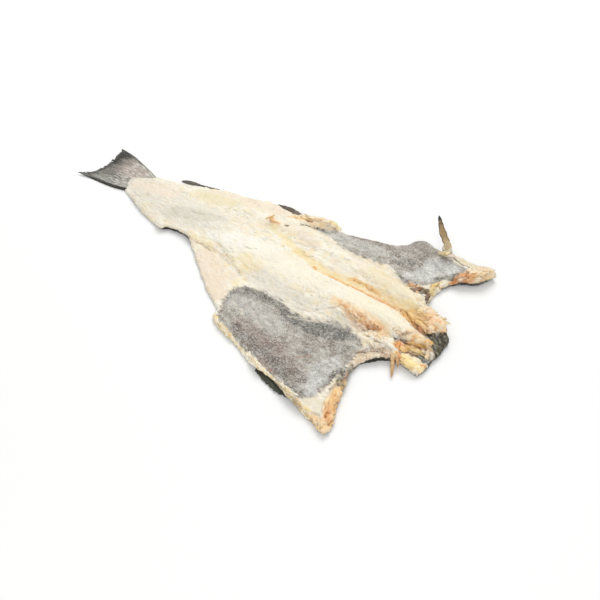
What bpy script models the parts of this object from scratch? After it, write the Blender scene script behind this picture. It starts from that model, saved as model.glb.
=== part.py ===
"""Salted dried cod: a whole fish without its head, split along the backbone, opened flat and dried.

Metres. The fish lies flesh side up on Z = 0, its cut neck towards +X and its tail fin towards -X.
"Near" is the -Y side and "far" the +Y side. The origin is under the middle of its bounding box.
The body is one closed form between a top and an underside, both worked out from the tables below;
the fins and the rib ends that stand out of it are lofted and joined to it by a union.
"""

import math

import bmesh
import bpy
import numpy as np
from mathutils.geometry import delaunay_2d_cdt

# ---------------------------------------------------------------- driving dimensions

FLAP_THICKNESS = 0.006  # the thin belly flaps
TAIL_FIN_THICKNESS = 0.0024
TAIL_FIN_FROM = -0.212  # the flesh runs out into the tail fin between these two X
TAIL_FIN_FULL = -0.236
EDGE_ROUND = 0.013  # how far in from the outline the top reaches its full height
WALL_SHARE = 0.5  # part of the full height that the side wall takes up
NECK_WALL_SHARE = 0.66
NECK_FROM = 0.235  # the thick cut neck begins between these two X
NECK_FULL = 0.268
NECK_HALF_WIDTH = 0.060
NECK_FULL_HALF_WIDTH = 0.036
NECK_MIDDLE = 0.005
LOWER_INSET = 0.0015  # the side wall bulges between its lower and its upper edge
UPPER_INSET = 0.0018
BULGE_SHARE = 0.4  # height of the bulge within the side wall

OUTLINE_STEP = 0.0060
TOP_STEP = 0.0086
ROW_STEP = 0.0060
UNDERSIDE_STEP = 0.0130
SMALLEST_DETAIL_GAP = 0.0026
SMALLEST_TOP_GAP = 0.0058
SMALLEST_EDGE_GAP = 0.0036
CURVE_SPAN_POINTS = 24
SAME_PLACE = 1e-7

# The outline, in order round the fish. Each edge is a smooth curve through its points (x, y),
# and neighbouring edges meet in a corner.
OUTLINE = {
    "near side of tail fin": [(-0.300, -0.022), (-0.262, -0.021), (-0.238, -0.016), (-0.220, -0.008)],
    "near side of tail": [
        (-0.220, -0.008), (-0.190, -0.019), (-0.163, -0.030), (-0.140, -0.037), (-0.120, -0.035),
        (-0.098, -0.028), (-0.082, -0.029), (-0.061, -0.040), (-0.023, -0.066), (0.009, -0.087),
        (0.040, -0.103),
    ],
    "near belly edge": [
        (0.040, -0.103), (0.044, -0.117), (0.062, -0.127), (0.104, -0.138), (0.138, -0.151),
        (0.165, -0.153), (0.186, -0.159), (0.211, -0.166), (0.245, -0.174), (0.270, -0.181),
    ],
    "front of near wing": [
        (0.270, -0.181), (0.272, -0.168), (0.261, -0.146), (0.247, -0.115), (0.236, -0.086),
        (0.236, -0.066), (0.244, -0.054), (0.256, -0.040),
    ],
    "near side of neck": [(0.256, -0.040), (0.270, -0.037), (0.284, -0.039), (0.298, -0.040)],
    "cut neck": [(0.298, -0.040), (0.300, -0.025), (0.299, -0.008), (0.298, 0.010), (0.295, 0.030)],
    "far side of neck": [
        (0.295, 0.030), (0.282, 0.042), (0.268, 0.048), (0.252, 0.053), (0.238, 0.064), (0.234, 0.078),
    ],
    "front of far wing": [
        (0.234, 0.078), (0.235, 0.100), (0.244, 0.120), (0.261, 0.132), (0.271, 0.146), (0.275, 0.164),
    ],
    "far belly edge": [
        (0.275, 0.164), (0.262, 0.169), (0.234, 0.164), (0.212, 0.163), (0.188, 0.158), (0.172, 0.158),
        (0.157, 0.151), (0.145, 0.139), (0.128, 0.130), (0.090, 0.117), (0.067, 0.110),
    ],
    "vent lobe": [(0.067, 0.110), (0.058, 0.116), (0.041, 0.118), (0.027, 0.110), (0.010, 0.105)],
    "far side of tail": [
        (0.010, 0.105), (-0.031, 0.100), (-0.063, 0.088), (-0.113, 0.073), (-0.148, 0.058),
        (-0.180, 0.044), (-0.206, 0.039),
    ],
    "far side of tail fin": [(-0.206, 0.039), (-0.228, 0.044), (-0.258, 0.051), (-0.286, 0.052)],
    "hind edge of tail fin": [
        (-0.286, 0.052), (-0.281, 0.038), (-0.279, 0.018), (-0.281, 0.000), (-0.287, -0.012),
        (-0.300, -0.022),
    ],
}

# What the flesh adds to the flap thickness: paths of (x, y, half width, height).
MASSES = {
    "back": [
        (-0.225, 0.014, 0.040, 0.002), (-0.160, 0.010, 0.062, 0.005), (-0.080, 0.024, 0.074, 0.005),
        (0.000, 0.028, 0.078, 0.006), (0.100, 0.025, 0.076, 0.007), (0.200, 0.022, 0.070, 0.008),
        (0.292, 0.012, 0.056, 0.007),
    ],
    "near loin": [
        (-0.200, 0.004, 0.020, 0.001), (-0.100, 0.004, 0.030, 0.003), (0.000, -0.006, 0.034, 0.005),
        (0.090, -0.014, 0.040, 0.008), (0.150, -0.006, 0.038, 0.010), (0.196, 0.002, 0.035, 0.011),
        (0.226, 0.008, 0.026, 0.011), (0.255, 0.010, 0.022, 0.010), (0.286, 0.009, 0.017, 0.008),
    ],
    "far loin": [
        (-0.200, 0.028, 0.016, 0.001), (-0.100, 0.050, 0.020, 0.003), (0.000, 0.066, 0.022, 0.005),
        (0.066, 0.065, 0.021, 0.007), (0.137, 0.060, 0.021, 0.009), (0.200, 0.058, 0.021, 0.011),
        (0.238, 0.052, 0.022, 0.011), (0.278, 0.038, 0.022, 0.011),
    ],
    "rim of near belly": [
        (0.062, -0.120, 0.012, 0.001), (0.150, -0.148, 0.014, 0.001), (0.258, -0.162, 0.018, 0.003),
        (0.236, -0.078, 0.012, 0.003),
    ],
    "tip of far wing": [(0.236, 0.128, 0.016, 0.001), (0.262, 0.150, 0.020, 0.003)],
    "near ledge of neck": [
        (0.206, -0.030, 0.020, 0.003), (0.250, -0.024, 0.018, 0.004), (0.290, -0.026, 0.016, 0.003),
    ],
}

# Narrower ridges and furrows, which get rows of points of their own. A furrow's height is negative.
DETAILS = {
    "backbone channel": [
        (0.020, 0.048, 0.008, -0.001), (0.058, 0.036, 0.009, -0.002), (0.110, 0.031, 0.009, -0.003),
        (0.160, 0.033, 0.010, -0.004), (0.205, 0.037, 0.011, -0.005), (0.235, 0.036, 0.011, -0.006),
        (0.254, 0.024, 0.009, -0.008), (0.266, 0.020, 0.006, -0.005),
    ],
    "backbone stub": [(-0.014, 0.062, 0.006, 0.0015), (0.012, 0.058, 0.006, 0.0015)],
    "vent crease": [
        (-0.082, -0.030, 0.004, -0.001), (-0.048, -0.036, 0.006, -0.003), (0.002, -0.037, 0.006, -0.003),
        (0.036, -0.034, 0.005, -0.001),
    ],
    "tail valley": [
        (-0.114, 0.006, 0.007, -0.001), (-0.095, 0.010, 0.008, -0.002), (-0.080, 0.017, 0.008, -0.002),
        (-0.061, 0.022, 0.007, -0.001),
    ],
    "vent lobe": [(0.018, 0.104, 0.007, 0.002), (0.036, 0.108, 0.012, 0.006), (0.054, 0.111, 0.012, 0.006)],
    "crease of vent lobe": [
        (-0.002, 0.086, 0.004, -0.001), (0.020, 0.090, 0.006, -0.003), (0.044, 0.092, 0.006, -0.004),
        (0.066, 0.102, 0.005, -0.003),
    ],
    "edge of near membrane": [
        (0.040, -0.094, 0.005, -0.001), (0.036, -0.074, 0.006, -0.002), (0.056, -0.056, 0.006, -0.002),
        (0.110, -0.052, 0.006, -0.002), (0.140, -0.048, 0.006, -0.002), (0.166, -0.036, 0.006, -0.002),
        (0.182, -0.030, 0.006, -0.003), (0.200, -0.038, 0.006, -0.003), (0.221, -0.046, 0.006, -0.002),
    ],
    "foot of near loin": [
        (0.200, -0.030, 0.005, -0.002), (0.216, -0.016, 0.005, -0.004), (0.232, -0.012, 0.005, -0.003),
        (0.252, -0.013, 0.005, -0.004), (0.272, -0.007, 0.005, -0.004), (0.284, 0.000, 0.004, -0.003),
    ],
    "crease in neck ledge": [
        (0.262, -0.024, 0.004, -0.002), (0.276, -0.020, 0.005, -0.003), (0.290, -0.018, 0.004, -0.003),
    ],
    "edge of far membrane": [
        (0.082, 0.084, 0.005, -0.001), (0.124, 0.081, 0.006, -0.002), (0.166, 0.082, 0.006, -0.002),
        (0.192, 0.074, 0.006, -0.003), (0.212, 0.080, 0.006, -0.002),
    ],
    "scallop": [(0.158, 0.148, 0.010, 0.002), (0.172, 0.152, 0.012, 0.004), (0.188, 0.150, 0.010, 0.003)],
}

# Where the underside has curled up off the table: paths of (x, y, half width, height).
LIFTS = {
    "near edge of tail": [(-0.126, -0.044, 0.020, 0.007), (-0.080, -0.038, 0.022, 0.008)],
    "near notch": [(0.234, -0.086, 0.018, 0.008), (0.240, -0.062, 0.020, 0.009), (0.258, -0.044, 0.016, 0.006)],
    "near wing tip": [(0.275, -0.184, 0.026, 0.004), (0.277, -0.184, 0.026, 0.004)],
    "near belly over the fin": [(0.146, -0.158, 0.024, 0.0055), (0.206, -0.168, 0.024, 0.0055)],
    "front of far wing": [(0.236, 0.098, 0.018, 0.006), (0.252, 0.130, 0.030, 0.010), (0.276, 0.160, 0.034, 0.011)],
    "far wing edge": [(0.276, 0.168, 0.030, 0.005), (0.205, 0.170, 0.034, 0.008), (0.166, 0.160, 0.026, 0.007)],
    "near lobe of tail fin": [(-0.307, -0.024, 0.034, 0.003), (-0.305, -0.024, 0.034, 0.003)],
    "far lobe of tail fin": [(-0.293, 0.060, 0.046, 0.008), (-0.291, 0.060, 0.046, 0.008)],
}

# How far the top of the cut neck leans back from its foot: (y, distance).
NECK_LEAN = [(-0.045, 0.001), (-0.030, 0.002), (-0.007, 0.010), (0.018, 0.016), (0.036, 0.010), (0.052, 0.002)]

# Lofted pieces: the direction across the blade, then stations of (x, y, z, width, thickness).
BLADES = {
    "far_fin_root": (
        (0.985, -0.17, 0.0),
        [
            (0.2060, 0.1440, 0.0110, 0.0120, 0.0080), (0.2060, 0.1530, 0.0145, 0.0150, 0.0110),
            (0.2070, 0.1600, 0.0160, 0.0120, 0.0090), (0.2075, 0.1650, 0.0165, 0.0040, 0.0030),
        ],
    ),
    "far_pelvic_fin": (
        (0.77, 0.637, 0.0),
        [
            (0.2070, 0.1560, 0.0150, 0.0070, 0.0040), (0.2015, 0.1595, 0.0215, 0.0090, 0.0028),
            (0.1880, 0.1670, 0.0310, 0.0085, 0.0018), (0.1775, 0.1750, 0.0410, 0.0055, 0.0014),
            (0.1735, 0.1775, 0.0450, 0.0015, 0.0010),
        ],
    ),
    "near_pelvic_fin": (
        (0.10, 0.995, 0.0),
        [
            (0.2360, -0.1480, 0.0040, 0.0120, 0.0044), (0.2080, -0.1560, 0.0022, 0.0150, 0.0026),
            (0.1800, -0.1560, 0.0014, 0.0165, 0.0022), (0.1600, -0.1515, 0.0013, 0.0120, 0.0018),
            (0.1470, -0.1510, 0.0012, 0.0040, 0.0014),
        ],
    ),
    "first_anal_fin": (
        (-0.42, 0.91, 0.0),
        [
            (0.0160, 0.0990, 0.0045, 0.0120, 0.0030), (-0.0080, 0.1040, 0.0055, 0.0150, 0.0024),
            (-0.0340, 0.0990, 0.0050, 0.0060, 0.0020),
        ],
    ),
    "second_anal_fin": (
        (-0.42, 0.91, 0.0),
        [
            (-0.1040, 0.0710, 0.0045, 0.0120, 0.0030), (-0.1340, 0.0640, 0.0055, 0.0160, 0.0024),
            (-0.1660, 0.0500, 0.0050, 0.0070, 0.0020),
        ],
    ),
    "rib_end": (
        (0.82, 0.57, 0.0),
        [
            (0.2500, -0.0220, 0.0130, 0.0070, 0.0060), (0.2620, -0.0400, 0.0130, 0.0050, 0.0040),
            (0.2700, -0.0520, 0.0085, 0.0034, 0.0028), (0.2750, -0.0600, 0.0030, 0.0012, 0.0010),
        ],
    ),
}
BLADE_SIDES = 8

FLESH_COLOUR = (0.66, 0.52, 0.33, 1.0)
FLESH_ROUGHNESS = 0.72


# ---------------------------------------------------------------- plane geometry


def ramp(low, high, values):
    """0 below low and 1 above high, smooth between them."""
    share = np.clip((values - low) / (high - low), 0.0, 1.0)
    return share * share * (3.0 - 2.0 * share)


def smooth_curve(points, step):
    """Points about a step apart on a smooth curve through the given ones, ends included."""
    points = np.array(points)
    knots = np.vstack([2 * points[0] - points[1], points, 2 * points[-1] - points[-2]])
    t = np.linspace(0.0, 1.0, CURVE_SPAN_POINTS, endpoint=False)[:, None]
    spans = [
        0.5 * (2 * b + (c - a) * t + (2 * a - 5 * b + 4 * c - d) * t**2 + (3 * b - a - 3 * c + d) * t**3)
        for a, b, c, d in zip(knots, knots[1:], knots[2:], knots[3:])
    ]
    curve = np.vstack(spans + [points[-1:]])
    length = np.concatenate([[0.0], np.cumsum(np.linalg.norm(np.diff(curve[:, :2], axis=0), axis=1))])
    stops = np.linspace(0.0, length[-1], max(2, round(length[-1] / step) + 1))
    return np.stack([np.interp(stops, length, column) for column in curve.T], axis=1)


def nearest(points, path):
    """Each point's distance from a path, and the path's own row of values at its nearest place."""
    start, step = path[:-1], np.diff(path, axis=0)
    away = points[:, None, :] - start[None, :, :2]
    run = step[None, :, :2]
    share = np.clip((away * run).sum(axis=2) / (run * run).sum(axis=2), 0.0, 1.0)
    gaps = np.linalg.norm(away - share[:, :, None] * run, axis=2)
    best = gaps.argmin(axis=1)
    rows = np.arange(len(points))
    return gaps[rows, best], start[best] + share[rows, best][:, None] * step[best]


def swell(points, table):
    """The sum of the table's ridges and furrows at each point: each has a round cross-section."""
    total = np.zeros(len(points))
    for path in table.values():
        gap, at = nearest(points, np.array(path))
        total += at[:, 3] * (0.5 + 0.5 * np.cos(math.pi * np.minimum(gap / at[:, 2], 1.0)))
    return total


def outline_points():
    """The whole outline as one loop, anticlockwise seen from above."""
    return np.vstack([smooth_curve(edge, OUTLINE_STEP)[:-1] for edge in OUTLINE.values()])


def inward(loop):
    """Unit vectors into the fish at each point of its outline."""
    along = np.roll(loop, -1, axis=0) - np.roll(loop, 1, axis=0)
    along /= np.linalg.norm(along, axis=1)[:, None]
    return np.stack([-along[:, 1], along[:, 0]], axis=1)


def inside(points, loop):
    """Whether each point lies within the loop."""
    x, y = points[:, :1], points[:, 1:]
    ahead = np.roll(loop, -1, axis=0)
    crosses = (loop[:, 1] > y) != (ahead[:, 1] > y)
    rise = np.where(ahead[:, 1] == loop[:, 1], 1.0, ahead[:, 1] - loop[:, 1])
    where = loop[:, 0] + (y - loop[:, 1]) * (ahead[:, 0] - loop[:, 0]) / rise
    return (crosses & (x < where)).sum(axis=1) % 2 == 1


def closed(loop):
    return np.vstack([loop, loop[:1]])


# ---------------------------------------------------------------- the body's form


def neck_share(points):
    across = ramp(NECK_HALF_WIDTH, NECK_FULL_HALF_WIDTH, np.abs(points[:, 1] - NECK_MIDDLE))
    return ramp(NECK_FROM, NECK_FULL, points[:, 0]) * across


def underside(points):
    return swell(points, LIFTS)


def thickness(points):
    """Full thickness at each point, away from the rounded edge."""
    flesh = FLAP_THICKNESS + swell(points, MASSES) + swell(points, DETAILS)
    fin = ramp(TAIL_FIN_FROM, TAIL_FIN_FULL, points[:, 0])
    return flesh * (1.0 - fin) + TAIL_FIN_THICKNESS * fin


def wall_height(points):
    """Height of the side wall, where these points are on the outline."""
    share = WALL_SHARE + (NECK_WALL_SHARE - WALL_SHARE) * neck_share(points)
    return share * thickness(points)


def top(points, outline):
    """Height of the upper surface, which rounds off towards the outline."""
    gap, _ = nearest(points, closed(outline))
    share = WALL_SHARE + (NECK_WALL_SHARE - WALL_SHARE) * neck_share(points)
    rise = np.sqrt(1.0 - (1.0 - np.minimum(gap / EDGE_ROUND, 1.0)) ** 2)
    return underside(points) + thickness(points) * (share + (1.0 - share) * rise)


# ---------------------------------------------------------------- the body's mesh


def triangular_grid(loop, step):
    """An even triangular grid of points over the loop's extent."""
    low, high = loop.min(axis=0), loop.max(axis=0)
    rows = np.arange(low[1], high[1], step * math.sqrt(0.75))
    columns = np.arange(low[0], high[0], step)
    return np.array([(x + 0.5 * step * (i % 2), y) for i, y in enumerate(rows) for x in columns])


def rows_along_details():
    """Points on the middle and on both flanks of every narrow ridge and furrow."""
    found = []
    for path in DETAILS.values():
        line = smooth_curve(path, ROW_STEP)
        along = np.gradient(line[:, :2], axis=0)
        across = np.stack([-along[:, 1], along[:, 0]], axis=1) / np.linalg.norm(along, axis=1)[:, None]
        for side in (0.0, 1.0, -1.0, 0.5, -0.5):
            found.append(line[:, :2] + side * line[:, 2:3] * across)
    return np.vstack(found)


def thinned(points, gap, kept=None):
    """The points in order, without those closer than the gap to one already kept."""
    kept = np.empty((0, 2)) if kept is None else kept
    for point in points:
        if not len(kept) or np.hypot(*(kept - point).T).min() >= gap:
            kept = np.vstack([kept, point])
    return kept


def within(points, loop):
    """The points that lie inside the loop and clear of it."""
    gap, _ = nearest(points, closed(loop))
    return points[inside(points, loop) & (gap > SMALLEST_EDGE_GAP)]


def triangles(loop, inner):
    """Triangles that fill the loop, through all the inner points. Indices run on from the loop's."""
    count = len(loop)
    points = [tuple(p) for p in np.vstack([loop, inner])]
    edges = [(i, (i + 1) % count) for i in range(count)]
    made, _, faces, *_ = delaunay_2d_cdt(points, edges, [], 0, SAME_PLACE, True)
    if len(made) != len(points):
        raise ValueError("the outline crosses itself or two points coincide")
    centres = np.array([np.mean([points[i] for i in face], axis=0) for face in faces])
    return [face for face, keep in zip(faces, inside(centres, loop)) if keep]


def body_mesh():
    """The fish's body and tail fin: underside, bulging side wall and top as one closed mesh."""
    outline = outline_points()
    inwards = inward(outline)
    lower = outline + LOWER_INSET * inwards
    lean = np.interp(outline[:, 1], *np.array(NECK_LEAN).T) * neck_share(outline)
    upper = outline + UPPER_INSET * inwards - np.stack([lean, 0.0 * lean], axis=1)

    detail = within(thinned(rows_along_details(), SMALLEST_DETAIL_GAP), upper)
    upper_inner = thinned(within(triangular_grid(outline, TOP_STEP), upper), SMALLEST_TOP_GAP, detail)
    lower_inner = within(triangular_grid(outline, UNDERSIDE_STEP), lower)

    foot = underside(outline)
    wall = wall_height(outline)
    layers = {
        "lower edge": (lower, foot),
        "bulge": (outline, foot + BULGE_SHARE * wall),
        "upper edge": (upper, foot + np.maximum(wall, top(upper, outline) - foot)),
    }

    mesh = bmesh.new()
    rings = {
        name: [mesh.verts.new((x, y, z)) for (x, y), z in zip(places, heights)]
        for name, (places, heights) in layers.items()
    }
    fill_top = rings["upper edge"] + [
        mesh.verts.new((x, y, z)) for (x, y), z in zip(upper_inner, top(upper_inner, outline))
    ]
    fill_bottom = rings["lower edge"] + [
        mesh.verts.new((x, y, z)) for (x, y), z in zip(lower_inner, underside(lower_inner))
    ]
    for face in triangles(upper, upper_inner):
        mesh.faces.new([fill_top[i] for i in face])
    for face in triangles(lower, lower_inner):
        mesh.faces.new([fill_bottom[i] for i in reversed(face)])
    for below, above in (("lower edge", "bulge"), ("bulge", "upper edge")):
        for i in range(len(outline)):
            j = (i + 1) % len(outline)
            mesh.faces.new([rings[below][i], rings[below][j], rings[above][j], rings[above][i]])
    bmesh.ops.recalc_face_normals(mesh, faces=mesh.faces)
    return finished(mesh, "salted_cod")


def blade_mesh(name, across, stations):
    """A loft of flat oval sections along the stations' middle line."""
    stations = np.array(stations)
    middle = stations[:, :3]
    along = np.gradient(middle, axis=0)
    mesh = bmesh.new()
    rings = []
    for centre, direction, (width, depth) in zip(middle, along, stations[:, 3:]):
        direction = direction / np.linalg.norm(direction)
        side = np.array(across) - np.dot(across, direction) * direction
        side /= np.linalg.norm(side)
        normal = np.cross(direction, side)
        ring = []
        for k in range(BLADE_SIDES):
            angle = 2.0 * math.pi * (k + 0.5) / BLADE_SIDES
            offset = 0.5 * width * math.cos(angle) * side + 0.5 * depth * math.sin(angle) * normal
            ring.append(mesh.verts.new(centre + offset))
        rings.append(ring)
    for first, second in zip(rings, rings[1:]):
        for k in range(BLADE_SIDES):
            j = (k + 1) % BLADE_SIDES
            mesh.faces.new([first[k], first[j], second[j], second[k]])
    mesh.faces.new(rings[0])
    mesh.faces.new(rings[-1])
    bmesh.ops.recalc_face_normals(mesh, faces=mesh.faces)
    return finished(mesh, name)


def finished(mesh, name):
    data = bpy.data.meshes.new(name)
    mesh.to_mesh(data)
    mesh.free()
    return data


# ---------------------------------------------------------------- the scene


def material(name, colour, roughness):
    made = bpy.data.materials.new(name)
    made.use_nodes = True
    shader = made.node_tree.nodes["Principled BSDF"]
    shader.inputs["Base Color"].default_value = colour
    shader.inputs["Roughness"].default_value = roughness
    shader.inputs["Metallic"].default_value = 0.0
    return made


def collection(name):
    made = bpy.data.collections.new(name)
    bpy.context.scene.collection.children.link(made)
    return made


def clear_scene():
    for obj in list(bpy.data.objects):
        bpy.data.objects.remove(obj, do_unlink=True)


def build():
    clear_scene()
    fish = collection("salted_cod")
    joined = collection("pieces_joined_to_the_cod")
    flesh = material("dried_cod_flesh", FLESH_COLOUR, FLESH_ROUGHNESS)

    body = bpy.data.objects.new("salted_cod", body_mesh())
    body.data.materials.append(flesh)
    fish.objects.link(body)

    for name, (across, stations) in BLADES.items():
        blade = bpy.data.objects.new(name, blade_mesh(name, across, stations))
        blade.data.materials.append(flesh)
        blade.hide_render = True
        blade.display_type = "WIRE"
        joined.objects.link(blade)
        union = body.modifiers.new("join_" + name, "BOOLEAN")
        union.operation = "UNION"
        union.solver = "EXACT"
        union.object = blade


build()
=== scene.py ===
"""Salted dried cod: the finish of the split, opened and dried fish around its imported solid.

Metres, in the frame of the solid: the fish lies flesh side up on Z = 0, its cut neck towards +X and
its tail towards -X. "Near" is the -Y side and "far" the +Y side. The body is one closed form between a
top and an underside, worked out from the tables below; the fins, the rib ends, the torn flakes and the
salt are pieces of their own. The tables are in millimetres, and everything else is in metres.
"""

import itertools
import math

import bpy
import numpy as np
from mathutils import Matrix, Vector
from mathutils.geometry import delaunay_2d_cdt
from mathutils.kdtree import KDTree


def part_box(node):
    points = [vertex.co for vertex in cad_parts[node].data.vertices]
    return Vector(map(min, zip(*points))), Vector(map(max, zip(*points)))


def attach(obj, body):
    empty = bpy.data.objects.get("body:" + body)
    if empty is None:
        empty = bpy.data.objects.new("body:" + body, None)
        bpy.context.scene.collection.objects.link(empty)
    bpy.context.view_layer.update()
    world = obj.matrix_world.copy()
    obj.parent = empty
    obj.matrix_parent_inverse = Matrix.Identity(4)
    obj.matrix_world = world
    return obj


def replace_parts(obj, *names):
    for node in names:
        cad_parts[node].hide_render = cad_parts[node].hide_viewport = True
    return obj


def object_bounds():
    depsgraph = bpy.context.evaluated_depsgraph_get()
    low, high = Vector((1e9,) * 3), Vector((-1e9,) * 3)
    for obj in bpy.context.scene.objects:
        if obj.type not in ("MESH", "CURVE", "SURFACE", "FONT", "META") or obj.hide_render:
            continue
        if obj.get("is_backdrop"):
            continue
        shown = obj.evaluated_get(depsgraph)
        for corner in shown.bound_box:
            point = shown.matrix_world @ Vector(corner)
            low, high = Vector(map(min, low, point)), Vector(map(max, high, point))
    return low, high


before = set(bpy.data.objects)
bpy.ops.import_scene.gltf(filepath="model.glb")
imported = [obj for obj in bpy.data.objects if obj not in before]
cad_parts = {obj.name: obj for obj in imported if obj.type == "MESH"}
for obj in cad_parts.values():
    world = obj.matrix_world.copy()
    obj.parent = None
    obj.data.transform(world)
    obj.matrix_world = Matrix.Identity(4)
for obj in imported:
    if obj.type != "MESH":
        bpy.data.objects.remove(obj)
CAD_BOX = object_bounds()
LOW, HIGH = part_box("salted_cod")

# ---------------------------------------------------------------- driving dimensions

FLAP_THICKNESS = 0.006
END_THICKNESS = 0.0036  # of the flesh over the root of the tail fin
END_FROM, END_FULL = -0.190, -0.226  # the flesh thins out towards the tail fin between these two X
EDGE_ROUND = 0.013  # how far in from the outline the top rounds off
WALL_SHARE = 0.5  # the side wall's share of the full thickness
NECK_WALL_SHARE = 0.66
NECK_FROM, NECK_FULL = 0.235, 0.268
NECK_HALF_WIDTH, NECK_FULL_HALF_WIDTH = 0.060, 0.036
NECK_MIDDLE = 0.005
LOWER_INSET = 0.0015  # how far the foot and the top of the wall lie within the outline
UPPER_INSET = 0.0018
BULGE_SHARE = 0.4  # how far up the wall it bulges most
TAIL_FIN_THICKNESS = 0.0022

OUTLINE_STEP = 0.0013
PATH_STEP = 0.0005
TOP_STEP = 0.0013
UNDERSIDE_STEP = 0.0030
WALL_ROWS = 11
EDGE_GAP = 0.0007  # the least distance of the grid's points from the outline
NORMAL_EASE = 40  # rounds of smoothing that turn the inward vectors gently round the corners
CURVE_SPAN_POINTS = 24
RAG_EASE = (-0.002, 0.006)  # the edges are less ragged this near to their ends
RAG_MEAN = 0.7
RAG_NOISE = [(0.6, 0.0110, 3), (0.5, 0.0045, 4), (0.35, 0.0022, 5)]  # strength, size and seed
CREASE_WARPS = ((0.009, 0.0012), (0.003, 0.0005))  # size and distance of what bends the furrows
BORDER_WARPS = ((0.010, 0.0022), (0.0035, 0.0012))  # and the borders
STAIN_WARPS = ((0.0080, 0.0018), (0.0028, 0.0009))  # and the stains
FIN_WARP = (0.006, 0.0010)  # and the fins underneath
SAME_PLACE = 1e-8
MM = 1000.0  # millimetres in a metre


def metres(table):
    """The paths and loops of a table in millimetres, in metres."""
    return {name: np.array(path) / MM for name, path in table.items()}


# The outline, in order round the fish: points (x, y) of each smooth edge, and how ragged it is.
OUTLINE = {
    "flesh over the tail fin": (1.2, [
        (-206, 39), (-215, 32), (-226, 25.5), (-232.5, 18), (-231, 9), (-226.5, 1), (-220, -8),
    ]),
    "near side of tail": (0.4, [
        (-220, -8), (-202, -15), (-178, -24.5), (-158, -30.5), (-140, -34.5), (-123, -37.5), (-114, -31),
        (-98, -27.5), (-82, -29), (-61, -41), (-23, -67), (9, -88), (40, -103),
    ]),
    "near belly edge": (0.9, [
        (40, -103), (44, -117), (62, -127), (104, -138), (138, -151), (165, -153), (186, -159), (211, -166),
        (245, -174), (270, -181),
    ]),
    "front of near wing": (1.4, [
        (270, -181), (272, -168), (261, -146), (247, -115), (236, -86), (236, -66), (244, -54), (256, -40),
    ]),
    "near side of neck": (1.4, [(256, -40), (270, -37), (284, -39), (298, -40)]),
    "cut neck": (1.2, [(298, -40), (300, -25), (299, -8), (298, 10), (295, 30)]),
    "far side of neck": (1.5, [(295, 30), (282, 42), (268, 48), (252, 53), (238, 64), (234, 78)]),
    "front of far wing": (1.2, [(234, 78), (235, 100), (244, 120), (261, 132), (271, 146), (275, 164)]),
    "far belly edge": (0.7, [
        (275, 164), (262, 169), (234, 164), (212, 163), (188, 158), (172, 158), (157, 151), (145, 139),
        (128, 130), (90, 117), (67, 110),
    ]),
    "vent lobe": (1, [(67, 110), (58, 116), (41, 118), (27, 111), (10, 107)]),
    "far side of tail": (0.7, [
        (10, 107), (-31, 103), (-60, 93.5), (-84, 84.5), (-113, 76.5), (-135, 67.5), (-150, 59.5),
        (-165, 52), (-180, 46), (-206, 39),
    ]),
}

# What the flesh adds to the flap thickness: paths of (x, y, half width, height). Furrows are negative.
MASSES = metres({
    "edge of near notch": [(236, -72, 16, 5), (244, -54, 16, 8.5), (256, -44, 14, 8.5)],
    "near edge of tail": [(-126, -36, 16, 3), (-80, -30, 18, 4)],
    "edge of far wing": [(240, 106, 14, 3), (252, 130, 22, 6), (270, 155, 28, 7)],
    "back": [
        (-225, 14, 40, 2), (-160, 10, 62, 5), (-80, 24, 74, 5), (0, 28, 78, 6), (100, 25, 76, 7),
        (200, 22, 70, 8), (292, 12, 56, 7),
    ],
    "near loin": [
        (-200, 4, 20, 1), (-100, 4, 30, 3), (0, -6, 34, 5), (90, -14, 40, 8), (150, -6, 38, 10),
        (196, 0, 34, 11), (222, 3, 26, 10), (246, 2, 20, 8), (270, 0, 17, 6), (284, 2, 14, 4),
    ],
    "far loin": [
        (-200, 28, 16, 1), (-100, 50, 20, 3), (0, 66, 22, 5), (66, 65, 21, 7), (137, 60, 21, 9),
        (200, 58, 21, 11), (238, 52, 22, 11), (278, 38, 22, 11),
    ],
    "rim of near belly": [(62, -120, 12, 1), (150, -148, 14, 1), (258, -162, 18, 3), (236, -78, 12, 3)],
    "tip of far wing": [(236, 128, 16, 1), (262, 150, 20, 3)],
    "near ledge of neck": [(206, -30, 20, 3), (250, -24, 18, 4), (290, -26, 16, 3)],
    "backbone channel": [
        (20, 48, 8, -1), (58, 36, 9, -2), (110, 31, 9, -3), (160, 33, 10, -4), (205, 35, 11, -5),
        (235, 32, 12, -7), (256, 23, 11, -8), (270, 18, 8, -6),
    ],
    "backbone stub": [(-14, 62, 6, 1.5), (12, 58, 6, 1.5)],
    "tail valley": [(-114, 6, 7, -1), (-95, 10, 8, -2), (-80, 17, 8, -2), (-61, 22, 7, -1)],
    "vent lobe": [(18, 104, 7, 2), (36, 108, 12, 6), (54, 111, 12, 6)],
    "scallop": [(158, 148, 10, 2), (172, 152, 12, 4), (188, 150, 10, 3)],
})

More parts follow.
